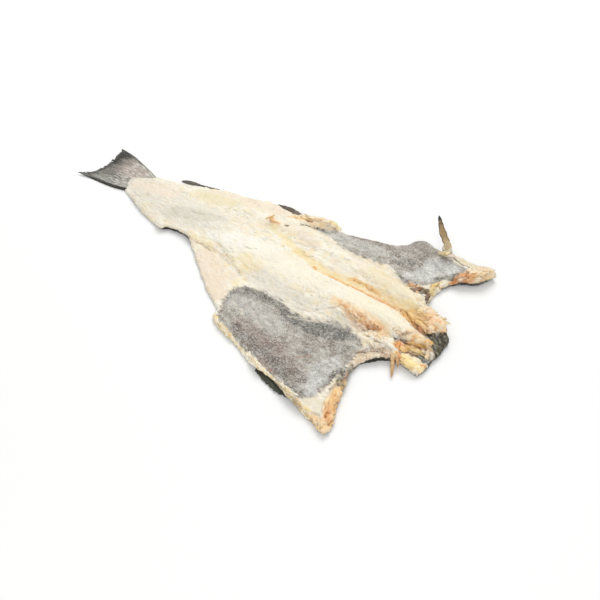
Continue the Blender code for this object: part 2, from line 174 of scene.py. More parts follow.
# Narrow furrows, torn and uneven: their paths are bent by noise.
CREASES = metres({
    "vent crease": [
        (-82, -30, 4, -1), (-52, -29, 5, -2), (-26, -30, 5, -2), (2, -36, 5, -2), (36, -46, 5, -1),
    ],
    "vent tear": [
        (-55, -18, 2, -0.8), (-41, -17, 2.8, -1.4), (-27, -21, 2.8, -1.4), (-12, -25, 2.5, -1.2),
        (2, -33, 2.5, -1.2), (15, -37, 2, -0.6),
    ],
    "crease of vent lobe": [
        (-2, 84, 4, -1), (18, 87, 5, -2), (29, 93, 6, -3), (44, 95, 6, -4), (55, 98, 6, -4),
        (62, 105, 5, -3),
    ],
    "edge of near membrane": [
        (40, -94, 5, -1), (36, -74, 6, -2), (56, -56, 6, -2), (110, -52, 6, -2), (140, -48, 6, -2),
        (166, -36, 6, -2), (182, -30, 6, -3), (200, -38, 6, -3), (221, -46, 6, -2),
    ],
    "foot of near loin": [
        (200, -30, 5, -2), (216, -16, 5, -4), (232, -12, 5, -3), (252, -13, 5, -4), (272, -7, 5, -4),
        (284, 0, 4, -3),
    ],
    "crease in neck ledge": [(262, -24, 4, -2), (276, -20, 5, -3), (290, -18, 4, -3)],
    "edge of far membrane": [
        (82, 84, 5, -1), (124, 81, 6, -2), (166, 82, 6, -2), (192, 74, 6, -3), (212, 80, 6, -2),
    ],
    "crack in far flap": [(190, 149, 2, -1), (206, 150, 3, -3), (222, 149, 3, -3), (240, 147, 2, -1)],
    "slit by near loin": [(208, -19, 4, -1.2), (220, -12, 4, -1.2)],
    "near streak of channel": [
        (110, 22, 2, -0.6), (147, 25, 2.4, -1.2), (179, 25, 2.4, -1.2), (223, 27, 2.4, -1),
    ],
    "far streak of channel": [(140, 38, 1.8, -0.8), (180, 39, 2, -1)],
})

# The three back fins, pressed flat under the middle of the fish: paths of (x, y, half width).
BACK_FINS = metres({
    "first": [(245, 12, 8), (220, 22, 17), (170, 26, 6)],
    "second": [(140, 22, 6), (110, 28, 14), (30, 30, 5)],
    "third": [(-5, 26, 5), (-40, 28, 12), (-120, 24, 4)],
})
BACK_RECESS = 0.0011
BACK_RECESS_EASE = 0.008
RAY_PITCH = 0.0042
RAY_DEPTH_SHARE = 0.3
RAY_SLANT = 0.5

# Where the underside has curled up off the table: paths of (x, y, half width, height).
LIFTS = metres({
    "near edge of tail": [(-126, -44, 20, 2), (-80, -38, 22, 2)],
    "near notch": [(234, -96, 18, 5), (236, -84, 12, 2)],
    "near wing tip": [(275, -184, 26, 4), (277, -184, 26, 4)],
    "near belly over the fin": [(146, -158, 24, 5.5), (206, -168, 24, 5.5)],
    "front of far wing": [(236, 98, 18, 1), (252, 130, 30, 2), (276, 160, 34, 2)],
    "far wing edge": [(276, 168, 30, 1), (205, 170, 34, 7), (166, 160, 26, 7)],
    "near lobe of tail fin": [(-307, -24, 34, 3), (-305, -24, 34, 3)],
    "far lobe of tail fin": [(-293, 60, 46, 8), (-291, 60, 46, 8)],
})

# How far the top of the cut neck leans back from its foot: (y, distance).
NECK_LEAN = [(-45, 1), (-30, 3), (-7, 12), (18, 13), (34, 3), (52, 0)]
# How far up the cut end the dark outer skin reaches: (y, height).
NECK_SKIN = [
    (-48, 2.2), (-34, 3), (-22, 4.6), (-8, 5), (0, 9.5), (5, 15), (20, 15.5), (32, 15), (40, 8), (48, 3.5),
]
NECK_SKIN_FROM = 0.270
FULL_SKIN_AND_SHADOW_RISE = 0.34  # the skin and its painted shadow are darkest where they rise this much
UNDERSIDE_BAND = 0.0004  # what lies lower than this belongs to the underside
# Where the dark skin, with painted shadow under the raised edges, shows highest on the side wall:
# paths of (x, y, half width, added thousandths of the height).
SKIN_AND_SHADOW_RISES = metres({
    "near notch": [(237, -74, 12, 360), (246, -52, 16, 580), (256, -40, 14, 600), (270, -38, 8, 100)],
    "front of far wing": [(234, 106, 8, 200), (246, 122, 12, 400), (262, 134, 10, 300), (270, 146, 8, 200)],
    "near side of tail": [(-116, -32, 12, 400), (-98, -28, 14, 460), (-80, -30, 10, 400)],
})

# ---------------------------------------------------------------- colours


LIGHT_LEVEL = 1.22  # how bright the studio's light makes a level white surface


def srgb(red, green, blue):
    """The shader colour that looks, under the studio's light, as this screen colour, 0 to 255."""
    part = np.array([red, green, blue]) / 255.0
    return np.where(part <= 0.04045, part / 12.92, ((part + 0.055) / 1.055) ** 2.4) / LIGHT_LEVEL


WHITE = srgb(254, 252, 242)
IVORY = srgb(251, 244, 224)
CREAM = srgb(246, 235, 210)
BLUSH = srgb(244, 225, 202)
PEACH = srgb(252, 218, 166)
STRAW = srgb(246, 224, 164)
CHALK = srgb(229, 224, 211)
AMBER = srgb(242, 190, 110)
ORANGE = srgb(234, 158, 78)
RUST = srgb(190, 116, 60)
UMBER = srgb(96, 62, 34)
BLACK = srgb(30, 25, 20)
OLIVE = srgb(104, 98, 62)
ROSE = srgb(234, 180, 140)
PLUM = srgb(142, 116, 108)
SMOKE = srgb(180, 171, 158)
LEAD = srgb(108, 107, 98)
ASH = srgb(216, 213, 204)
BARK = srgb(140, 124, 112)
HIDE = srgb(78, 70, 42)
PALE_HIDE = srgb(168, 162, 140)
SALT = srgb(252, 252, 248)

# Stains on the flesh side, laid over each other in this order: colour, strength, patchiness and a path
# of (x, y, half width).
STAINS = {
    "greyer tail": (CHALK * 0.98, 0.7, 0.5, [(-200, 10, 30), (-120, 0, 40), (-70, 12, 30)]),
    "thin flesh by the fin": (ASH * 0.9, 0.7, 0.5, [(-222, -4, 6), (-230, 12, 7), (-224, 28, 6)]),
    "tail blush": (BLUSH, 0.7, 0.5, [(-210, 10, 16), (-160, 20, 20)]),
    "far blush": (BLUSH, 0.6, 0.5, [(-120, 56, 14), (-20, 90, 16)]),
    "blush by stub": (BLUSH, 0.5, 0.5, [(20, 66, 12), (60, 60, 12)]),
    "near peach": (BLUSH, 0.9, 0.3, [(-40, -40, 16), (0, -66, 20), (26, -84, 18)]),
    "white middle": (WHITE, 0.8, 0.5, [(-54, -10, 12), (-10, 4, 18), (30, 12, 14)]),
    "pale loins": (IVORY, 0.7, 0.3, [(20, 0, 30), (200, 4, 26), (262, 8, 16)]),
    "yellow loins": (CREAM * [1.06, 1.06, 1.04], 0.7, 0.3, [(170, 10, 20), (240, 6, 22), (262, 4, 14)]),
    "yellow far loins": (CREAM * [1.0, 0.96, 0.85], 0.8, 0.3, [
        (160, 64, 20), (200, 62, 22), (240, 52, 14),
    ]),
    # Painted shade: greyer along the valley of the tail.
    "painted shade of tail valley": (CHALK * [0.9, 0.89, 0.84], 0.9, 0.4, [
        (-134, -12, 12), (-110, 2, 14), (-90, 8, 16), (-70, 18, 10),
    ]),
    "shaded far tail": (CREAM * [0.9, 0.92, 0.9], 0.8, 0.4, [(-130, 50, 12), (-95, 52, 18), (-70, 60, 12)]),
    "yellow middle": (STRAW, 0.6, 0.6, [(10, -22, 16), (30, -22, 16)]),
    "yellow by corner": (STRAW, 0.5, 0.5, [(-78, -26, 8), (-46, -24, 10)]),
    "yellow tail": (STRAW * [0.95, 0.98, 0.95], 0.45, 0.6, [(-130, 40, 14), (-98, 50, 18), (-80, 56, 14)]),
    "yellow far loin": (STRAW, 0.45, 0.7, [(150, 70, 10), (176, 70, 12)]),
    "grey striations": (CHALK, 0.75, 0.6, [(44, -32, 18), (84, -34, 18), (124, -38, 10)]),
    "straw seam": (STRAW, 0.65, 0.5, [(-6, 54, 6), (24, 45, 8), (59, 35, 8)]),
    "straw channel": (STRAW * [0.98, 0.95, 0.88], 0.8, 0.4, [
        (52, 36, 8), (106, 28, 10), (162, 34, 11), (225, 36, 13), (246, 34, 12),
    ]),
    "amber channel": (AMBER, 0.6, 0.6, [
        (90, 23, 3), (132, 26, 5), (180, 29, 7), (225, 31, 11), (250, 28, 12),
    ]),
    "orange near line": (ORANGE * 0.93, 0.82, 0.45, [
        (117, 22, 2.2), (147, 25, 3.6), (172, 28, 5.2), (200, 29, 6), (220, 29, 5),
    ]),
    "orange far line": (AMBER, 0.8, 0.4, [(138, 38, 3), (162, 40, 3.4), (184, 39, 3.4)]),
    # Painted shadow: a thin dark line under the far lip of the channel.
    "painted shadow under far lip of channel": (RUST * 0.8, 0.6, 0.5, [(142, 38, 0.7), (184, 39, 0.8)]),
    "amber neck pit": (AMBER, 0.9, 0.2, [(232, 30, 10), (262, 24, 10)]),
    "orange neck pit": (ORANGE, 0.7, 0.6, [(228, 26, 4), (250, 22, 5), (268, 16, 4)]),
    # Painted light: the far lobe's peach is raised 1.05 times for faces turned from the lamps.
    "peach far lobe with painted light": (PEACH * 1.05, 0.8, 0.3, [(250, 44, 12), (270, 38, 16), (288, 28, 12)]),
    "orange far lobe": (ORANGE, 0.45, 0.7, [(262, 36, 10), (286, 26, 10)]),
    "straw far lobe": (STRAW, 0.7, 0.5, [(258, 50, 5), (284, 42, 6)]),
    "peach near foot": (PEACH, 0.8, 0.3, [(150, -12, 6), (190, -12, 10), (226, -16, 14)]),
    "orange near foot": (ORANGE * 1.08, 0.55, 0.6, [
        (158, -12, 3), (180, -14, 5), (204, -16, 6), (222, -12, 6),
    ]),
    "red near foot": (ROSE, 0.4, 0.7, [(178, -20, 6), (196, -22, 8), (214, -24, 6)]),
    "brown foot line": (UMBER, 0.35, 0.7, [
        (118, -43, 1.6), (135, -38, 1.8), (151, -25, 1.8), (167, -12, 1.8),
    ]),
    "brown slit": (RUST, 0.7, 0.5, [(200, -24, 2), (210, -18, 3), (222, -13, 2)]),
    "peach tip": (PEACH, 0.8, 0.5, [(258, 0, 10), (284, 3, 12)]),
    "amber tip": (AMBER * 0.88, 0.9, 0.4, [(268, -1, 6), (286, 1, 8)]),
    "amber ledge": (AMBER * 0.9, 0.9, 0.3, [(254, -20, 8), (272, -16, 6), (288, -10, 6)]),
    "orange ledge": (ORANGE, 0.7, 0.5, [(256, -20, 4), (272, -24, 4)]),
    # Painted light: the lower ledge is 1.2 times straw, brighter than its own colour.
    "cream ledge with painted light": (STRAW * 1.2, 0.85, 0.3, [(262, -34, 8), (280, -31, 8), (298, -30, 10)]),
    "brown notch": (BLUSH * [0.72, 0.62, 0.52], 0.75, 0.6, [(222, -60, 5), (230, -48, 8), (246, -38, 7)]),
    "brown specks of notch": (PLUM * 0.6, 0.9, 0.9, [(222, -56, 5), (232, -46, 8), (246, -38, 8)]),
    "plum spots of neck": (PLUM, 0.6, 0.8, [(248, -12, 4), (256, 0, 3), (264, 4, 3)]),
    # Painted shade, tinted umber: dark lines in the crevice and the crease of the neck.
    "painted shade in neck crevice": (UMBER, 0.85, 0.3, [(250, -12, 2), (262, -9, 2.6), (274, -8, 2.8), (286, -3, 2.6)]),
    "painted shade in ledge crease": (UMBER, 0.7, 0.5, [(262, -28, 1.4), (276, -25, 1.4), (290, -20, 1.6)]),
    "dark blotch of neck": (OLIVE * 0.35, 0.9, 0.4, [(285, -14, 4), (292, -9, 5)]),
    "umber pit": (RUST, 0.6, 0.5, [(250, 16, 3.4), (266, 12, 4), (276, 11, 3.6)]),
    "peach by stub": (PEACH, 0.6, 0.4, [(-10, 62, 6), (2, 60, 6)]),
    "orange stub": (ORANGE, 0.85, 0.3, [(-13, 60, 2.4), (-14, 68, 2.4)]),
    "orange stub foot": (RUST, 0.7, 0.4, [(-12, 58, 1.6), (4, 60, 1.8)]),
    "dot by stub": (UMBER, 0.8, 0.2, [(11, 65, 2), (13, 65, 2)]),
    "amber rim of lobe": (AMBER, 0.8, 0.4, [(-6, 88, 2.2), (4, 92, 3), (15, 96, 3)]),
    "peach lobe": (PEACH, 0.7, 0.4, [(0, 96, 8), (34, 102, 10), (58, 106, 10)]),
    "straw rim of lobe": (STRAW, 0.8, 0.4, [(30, 113, 4), (46, 115, 4), (62, 112, 5)]),
    # Painted shadow: a black line where the vent lobe lies over the flap.
    "painted shadow in crease of lobe": (BLACK, 0.95, 0.1, [
        (16, 87, 0.8), (29, 93, 1.4), (44, 95, 1.8), (55, 98, 2.6), (62, 105, 1.4),
    ]),
    "vent crease shade": (BARK, 0.55, 0.5, [(-80, -30, 1.4), (-52, -29, 2), (-36, -28, 1.2)]),
    "vent tear shade": (UMBER, 0.45, 0.6, [
        (-40, -22, 0.8), (-26, -22, 1.4), (-13, -26, 1.4), (1, -30, 1.2),
    ]),
    "olive seam": (OLIVE, 0.4, 0.6, [(-3, -4, 1.8), (6, -2, 1.8), (12, 4, 1.4)]),
    "tail valley shade": (BARK, 0.35, 0.7, [(-108, 6, 1.6), (-88, 14, 2)]),
    "orange dot of loin": (ORANGE, 0.9, 0.1, [(91, 24, 2.2), (97, 24, 1.8)]),
    "olive clots": (OLIVE, 0.45, 0.8, [(58, 38, 2.6), (68, 36, 2.6), (76, 40, 2)]),
    # Partly the belly's own cream, partly painted light: 1.08 times ivory on the rim.
    "rim of near belly": (IVORY * 1.08, 0.9, 0.2, [
        (44, -118, 6), (62, -125, 5), (113, -139, 5), (154, -152, 5), (195, -160, 6), (222, -168, 6),
    ]),
    "yellow of near belly": (STRAW * [0.95, 0.9, 0.8], 0.85, 0.8, [
        (44, -118, 6), (100, -137, 5), (112, -139, 3), (122, -141, 1), (146, -150, 1), (160, -153, 5),
        (195, -161, 6), (240, -170, 8),
    ]),
    "brown of near belly": (BARK * [1.2, 1.1, 0.85], 0.75, 0.6, [
        (176, -157, 4), (206, -163, 5), (226, -167, 3),
    ]),
    "pale field of near wing": (CREAM * 0.84, 0.85, 0.3, [
        (228, -154, 10), (238, -148, 10), (246, -162, 8),
    ]),
    "tip of near wing": (0.5 * (AMBER + PEACH), 0.85, 0.4, [(248, -172, 8), (266, -176, 10)]),
    "ridge of near wing": (PEACH, 0.9, 0.2, [
        (238, -108, 8), (242, -120, 10), (248, -134, 11), (255, -150, 12), (264, -168, 10),
    ]),
    "amber of near wing": (AMBER, 0.85, 0.5, [
        (240, -108, 6), (244, -122, 8), (252, -142, 10), (262, -162, 9),
    ]),
    "orange of near wing": (ORANGE, 0.8, 0.4, [(252, -150, 6), (260, -162, 8)]),
    "plum of near wing": (PLUM, 0.8, 0.6, [(233, -124, 3), (235, -115, 4), (242, -111, 4)]),
    "near notch band": (BLUSH * [0.96, 0.93, 0.88], 0.9, 0.3, [
        (233, -82, 7), (231, -66, 9), (238, -48, 11), (252, -36, 9),
    ]),
    "rose of near notch": (BARK, 0.4, 0.75, [(226, -52, 6), (236, -42, 10), (252, -36, 9)]),
    "slits of near notch": (UMBER, 0.8, 0.6, [(224, -56, 2.6), (232, -48, 3), (246, -40, 3)]),
    "dark of near wing": (OLIVE * 0.22, 0.95, 0.5, [
        (232, -82, 6), (232, -94, 10), (236, -104, 10), (240, -112, 6),
    ]),
    "red of near wing": (RUST, 0.8, 0.5, [(236, -92, 2.4), (240, -104, 2.4)]),
    "rim of far wing": (CREAM * [0.83, 0.76, 0.66], 0.85, 0.4, [
        (224, 160, 8), (248, 161, 9), (268, 162, 6),
    ]),
    "peach of far wing": (0.5 * (PEACH + CREAM), 0.9, 0.3, [(252, 142, 12), (264, 150, 12), (272, 158, 8)]),
    "orange of far wing": (ORANGE * 0.9, 0.95, 0.2, [(239, 118, 6), (243, 130, 9), (256, 134, 8)]),
    "amber of far wing": (AMBER, 0.5, 0.6, [(258, 140, 6), (272, 152, 6)]),
    "rust of far wing": (RUST, 0.85, 0.5, [(240, 120, 4), (248, 128, 5)]),
    "fringe of far notch": (STRAW, 0.8, 0.4, [(227, 108, 6), (228, 94, 6), (232, 84, 4)]),
    "peach of far notch": (PEACH, 0.8, 0.3, [(200, 78, 6), (214, 82, 8), (230, 76, 8)]),
    "umber of far notch": (UMBER, 0.7, 0.75, [(208, 82, 4), (220, 83, 6), (231, 74, 4)]),
    "red of far notch": (RUST, 0.55, 0.75, [(206, 80, 5), (222, 81, 7), (231, 70, 5)]),
    "olive of far notch": (OLIVE * 0.4, 0.85, 0.6, [(222, 122, 5), (230, 118, 6), (236, 122, 5)]),
    "far cut edge": (CREAM, 0.8, 0.3, [(70, 112, 3), (128, 130, 3), (150, 145, 3)]),
    "black crack": (BLACK, 0.95, 0.1, [
        (196, 152, 1), (207, 155, 1.8), (221, 155, 2.2), (227, 153, 1.2), (240, 153, 1),
    ]),
}

# The black inner skin that still lines the flaps: a loop of (x, y) round each patch.
MEMBRANES = metres({
    "near": [
        (44, -106), (37, -94), (34, -84), (33, -70), (36, -58), (46, -50), (64, -46), (90, -47), (112, -49),
        (134, -50), (150, -43), (172, -31), (188, -29), (204, -33), (217, -41), (224, -52), (226, -64),
        (228, -80), (226, -96), (228, -112), (229, -128), (229, -144), (220, -157), (208, -160),
        (186, -156), (160, -150.5), (134, -145.5), (110, -136.5), (80, -129), (56, -121),
    ],
    "far": [
        (34, 93), (46, 99), (61, 107.5), (80, 114.5), (100, 121), (124, 130), (141, 138), (156, 151.5),
        (172, 158), (190, 156.5), (208, 153), (226, 151.5), (240, 149), (243, 139), (236, 126), (228, 112),
        (223, 100), (214, 90), (204, 81), (192, 79), (178, 86), (160, 90.5), (141, 86), (124, 84),
        (109, 82), (91, 84.5), (72, 87), (54, 88), (40, 90),
    ],
})
# Darker and paler places within them: colour, strength, patchiness and a path of (x, y, half width).
MEMBRANE_STAINS = {
    "near dark rim": (LEAD * 0.9, 0.8, 0.6, [
        (40, -96, 6), (36, -76, 7), (44, -58, 10), (70, -53, 10), (100, -54, 8),
    ]),
    "near dark band": (LEAD * 0.62, 0.95, 0.25, [
        (112, -58, 11), (147, -58, 16), (170, -51, 17), (198, -41, 12),
    ]),
    "near black edge": (BLACK, 0.6, 0.6, [(150, -68, 3), (166, -64, 3)]),
    "near purple": (PLUM, 0.65, 0.4, [(84, -108, 16), (120, -116, 24), (170, -126, 24)]),
    "near brown": (BARK * 0.56, 0.9, 0.5, [
        (80, -116, 8), (110, -126, 14), (160, -134, 18), (196, -132, 14),
    ]),
    "near slate": (LEAD, 0.7, 0.5, [(196, -64, 12), (206, -60, 10)]),
    "near red": (ROSE * 0.6, 0.6, 0.6, [(40, -94, 5), (44, -103, 4)]),
    "near pale corner": (ASH, 0.8, 0.4, [(48, -78, 18), (80, -80, 20), (124, -88, 14)]),
    "near scrapes": (CREAM, 0.75, 0.4, [(50, -84, 2.6), (60, -89, 3.6), (73, -93, 2)]),
    "near light": (SALT * 0.86, 0.75, 0.4, [(210, -82, 10), (208, -104, 20), (218, -140, 12)]),
    "near brown streak": (RUST * 0.8, 0.6, 0.5, [(172, -108, 1.8), (181, -97, 2.2)]),
    "near red-brown": (RUST, 0.5, 0.6, [(140, -142, 3), (164, -146, 4)]),
    "near dark specks": (BARK * 0.35, 0.7, 0.75, [(178, -142, 8), (200, -150, 8), (212, -152, 6)]),
    "near cream strip": (CREAM, 0.6, 0.6, [(120, -60, 4), (152, -46, 3)]),
    "far pale": (ASH, 0.8, 0.3, [(50, 98, 10), (96, 98, 18), (126, 108, 14), (140, 112, 10)]),
    "far purple": (BARK, 0.5, 0.6, [(84, 112, 6), (140, 126, 10), (182, 148, 12)]),
    "far dark": (LEAD, 0.7, 0.6, [(166, 106, 6), (176, 116, 10), (188, 122, 8)]),
    "far light": (SALT * 0.86, 0.85, 0.3, [(186, 94, 10), (206, 108, 16), (204, 132, 18), (224, 140, 16)]),
    "far dark rim": (LEAD * 0.6, 0.7, 0.6, [(176, 88, 3), (196, 82, 3), (214, 92, 3)]),
    "far dark corner": (OLIVE * 0.5, 0.9, 0.4, [(218, 110, 4), (229, 120, 7), (239, 132, 6)]),
    "near dark corner": (OLIVE * 0.2, 0.97, 0.3, [
        (230, -86, 6), (227, -96, 10), (230, -107, 13), (237, -113, 10),
    ]),
    "near plum corner": (PLUM, 0.8, 0.6, [(228, -122, 5), (226, -132, 5)]),
    "far olive": (OLIVE * 0.8, 0.5, 0.5, [(136, 90, 3), (138, 94, 3)]),
}

# ---------------------------------------------------------------- plane geometry


def ramp(low, high, values):
    """0 below low and 1 above high, smooth between them."""
    share = np.clip((values - low) / (high - low), 0.0, 1.0)
    return share * share * (3.0 - 2.0 * share)


def smooth_curve(points, step):
    """Points about a step apart on a smooth curve through the given ones, ends included."""
    points = np.array(points)
    knots = np.vstack([2 * points[0] - points[1], points, 2 * points[-1] - points[-2]])
    t = np.linspace(0.0, 1.0, CURVE_SPAN_POINTS, endpoint=False)[:, None]
    spans = [
        0.5 * (2 * b + (c - a) * t + (2 * a - 5 * b + 4 * c - d) * t**2 + (3 * b - a - 3 * c + d) * t**3)
        for a, b, c, d in zip(knots, knots[1:], knots[2:], knots[3:])
    ]
    curve = np.vstack(spans + [points[-1:]])
    length = np.concatenate([[0.0], np.cumsum(np.linalg.norm(np.diff(curve[:, :2], axis=0), axis=1))])
    stops = np.linspace(0.0, length[-1], max(2, round(length[-1] / step) + 1))
    return np.stack([np.interp(stops, length, column) for column in curve.T], axis=1)


def nearest(points, path):
    """Each point's distance from a path, and the path's own row of values at its nearest place."""
    path = np.array(path)
    best = np.full(len(points), np.inf)
    values = np.zeros((len(points), path.shape[1]))
    for start, step in zip(path, np.diff(path, axis=0)):
        run = step[:2]
        away = points[:, :2] - start[:2]
        share = np.clip(away @ run / max(run @ run, SAME_PLACE**2), 0.0, 1.0)
        gap = np.hypot(*(away - share[:, None] * run).T)
        closer = gap < best
        best[closer] = gap[closer]
        values[closer] = start + share[closer, None] * step
    return best, values


def swell(points, table):
    """The sum of the table's ridges and furrows at each point: each has a round cross-section."""
    total = np.zeros(len(points))
    for path in table.values():
        gap, at = nearest(points, path)
        total += at[:, 3] * (0.5 + 0.5 * np.cos(math.pi * np.minimum(gap / at[:, 2], 1.0)))
    return total


def inside(points, loop):
    """Whether each point lies within the loop."""
    loop = np.array(loop)
    odd = np.zeros(len(points), bool)
    for start, end in zip(loop, np.roll(loop, -1, axis=0)):
        if start[1] == end[1]:
            continue
        crosses = (start[1] > points[:, 1]) != (end[1] > points[:, 1])
        where = start[0] + (points[:, 1] - start[1]) * (end[0] - start[0]) / (end[1] - start[1])
        odd ^= crosses & (points[:, 0] < where)
    return odd


def depth_within(points, loop):
    """Distance from the loop, positive within it and negative outside."""
    closed = np.vstack([loop, loop[:1]])
    gap, _ = nearest(points, closed)
    return np.where(inside(points, loop), gap, -gap)


# ---------------------------------------------------------------- noise

GRADIENTS = np.array([g for g in itertools.product((-1.0, 0.0, 1.0), repeat=3) if sum(map(abs, g)) == 2.0])
HASH_STEPS = np.array([73856093, 19349663, 83492791])


def noise(places, seed):
    """Smooth noise, about -1 to 1, at each place (x, y, z), with one bump or so per unit."""
    cell = np.floor(places).astype(np.int64)
    part = places - cell
    fade = part**3 * (part * (6.0 * part - 15.0) + 10.0)
    total = np.zeros(len(places))
    for corner in itertools.product((0, 1), repeat=3):
        key = (cell + corner) @ HASH_STEPS + seed * 15485863
        key = (key ^ (key >> 13)) * 1274126177
        key = ((key ^ (key >> 16)) & 0x7FFFFFFF) % len(GRADIENTS)
        weight = np.prod(np.where(corner, fade, 1.0 - fade), axis=1)
        total += weight * ((part - corner) * GRADIENTS[key]).sum(axis=1)
    return 1.4 * total


def fractal(places, size, seed, octaves=3):
    """Noise with finer noise on it. Size is a length, or one for each axis."""
    scaled = places / np.array(size)
    return sum(0.5**k * noise(scaled * 2.0**k, seed + k) for k in range(octaves))


def in_three(points, z=0.0):
    """The points in three dimensions, at the height or heights z."""
    return np.column_stack([points[:, :2], np.broadcast_to(z, len(points))])


def flow(places):
    """Places in a frame that fans out from the tail, as the muscle fibres do: along, across and height."""
    fan = np.interp(places[:, 0], [-0.240, -0.100, 0.080, 0.260], [0.34, 0.60, 0.92, 1.00])
    return np.column_stack([places[:, 0], (places[:, 1] - 0.014) / fan, places[:, 2]])


def warped(places, seed, *steps):
    """Places moved about by noise, for borders and lines that wander. Each step is (size, distance)."""
    moved = places.copy()
    for i, (size, distance) in enumerate(steps):
        moved[:, 0] += distance * noise(places / size, seed + 10 * i)
        moved[:, 1] += distance * noise(places / size, seed + 10 * i + 5)
    return moved


# ---------------------------------------------------------------- the body's form


def back_rays(points):
    """The rays of the fins that are pressed flat under the fish: 0 between them and 1 on them."""
    return 0.5 + 0.5 * np.sin((points[:, 0] + RAY_SLANT * points[:, 1]) * math.tau / RAY_PITCH)


def back_recess(points, gap):
    """How far the underside stands off the table beside the fins that are pressed flat against it."""
    low = in_three(points)
    fins = np.zeros(len(points))
    for path in BACK_FINS.values():
        fins = np.maximum(fins, spot(warped(low, 90, FIN_WARP), path))
    stand_off = BACK_RECESS * (1.0 - fins) + RAY_DEPTH_SHARE * BACK_RECESS * fins * back_rays(points)
    return ramp(0.0, BACK_RECESS_EASE, gap) * stand_off


def neck_share(points):
    """1 at the end of the neck and 0 away from it."""
    across = ramp(NECK_HALF_WIDTH, NECK_FULL_HALF_WIDTH, np.abs(points[:, 1] - NECK_MIDDLE))
    return ramp(NECK_FROM, NECK_FULL, points[:, 0]) * across


def underside(points):
    """Height of the underside, before the fins that are pressed against it."""
    return swell(points, LIFTS)


def thickness(points):
    """Full thickness at each point, away from the rounded edge."""
    creased = warped(in_three(points), 40, *CREASE_WARPS)
    flesh = FLAP_THICKNESS + swell(points, MASSES) + swell(creased, CREASES)
    end = ramp(END_FROM, END_FULL, points[:, 0])
    return flesh * (1.0 - end) + END_THICKNESS * end


def wall_share(points):
    """The side wall's share of the full thickness."""
    return WALL_SHARE + (NECK_WALL_SHARE - WALL_SHARE) * neck_share(points)


def outline_points():
    """The ragged outline as one loop, anticlockwise seen from above."""
    edges, rag = [], []
    for amount, points in OUTLINE.values():
        edge = smooth_curve(np.array(points) / MM, OUTLINE_STEP)[:-1]
        ease = np.minimum(np.arange(len(edge)), np.arange(len(edge))[::-1]) * OUTLINE_STEP
        edges.append(edge)
        rag.append(amount / MM * ramp(*RAG_EASE, ease))
    loop = np.vstack(edges)
    places = in_three(loop)
    torn = sum(strength * noise(places / size, seed) for strength, size, seed in RAG_NOISE)
    return loop + (np.concatenate(rag) * (RAG_MEAN + torn))[:, None] * inward(loop)


def inward(loop):
    """Unit vectors into the fish at each point of its outline, turning gently round its corners."""
    for _ in range(NORMAL_EASE):
        loop = 0.5 * loop + 0.25 * (np.roll(loop, -1, axis=0) + np.roll(loop, 1, axis=0))
    along = np.roll(loop, -1, axis=0) - np.roll(loop, 1, axis=0)
    along /= np.linalg.norm(along, axis=1)[:, None]
    return np.stack([-along[:, 1], along[:, 0]], axis=1)


def gap_from(points, loop):
    """Distance of each point from the nearest point of a closely spaced loop."""
    tree = KDTree(len(loop))
    for i, (x, y) in enumerate(loop):
        tree.insert((x, y, 0.0), i)
    tree.balance()
    return np.array([tree.find((x, y, 0.0))[2] for x, y in points])


def top(points, gap):
    """Height of the upper surface, which rounds off towards the outline."""
    share = wall_share(points)
    rise = np.sqrt(1.0 - (1.0 - np.minimum(gap / EDGE_ROUND, 1.0)) ** 2)
    return underside(points) + thickness(points) * (share + (1.0 - share) * rise)


# ---------------------------------------------------------------- meshes


def triangular_grid(loop, step):
    """An even triangular grid of points over the loop's extent."""
    low, high = loop.min(axis=0), loop.max(axis=0)
    rows = np.arange(low[1], high[1], step * math.sqrt(0.75))
    columns = np.arange(low[0], high[0], step)
    x = columns[None, :] + 0.5 * step * (np.arange(len(rows))[:, None] % 2)
    return np.column_stack([x.ravel(), np.repeat(rows, len(columns))])


def filled(loop, step):
    """Inner points and triangles that fill the loop. Triangle indices run on from the loop's."""
    inner = triangular_grid(loop, step)
    inner = inner[inside(inner, loop)]
    inner = inner[gap_from(inner, loop) > max(EDGE_GAP, 0.4 * step)]
    points = [tuple(p) for p in np.vstack([loop, inner])]
    edges = [(i, (i + 1) % len(loop)) for i in range(len(loop))]
    made, _, faces, *_ = delaunay_2d_cdt(points, edges, [], 0, SAME_PLACE, True)
    if len(made) != len(points):
        raise ValueError("the outline crosses itself or two points coincide")
    faces = np.array([face for face in faces if len(face) == 3])
    centres = np.array(points)[faces].mean(axis=1)
    return inner, faces[inside(centres, loop)]


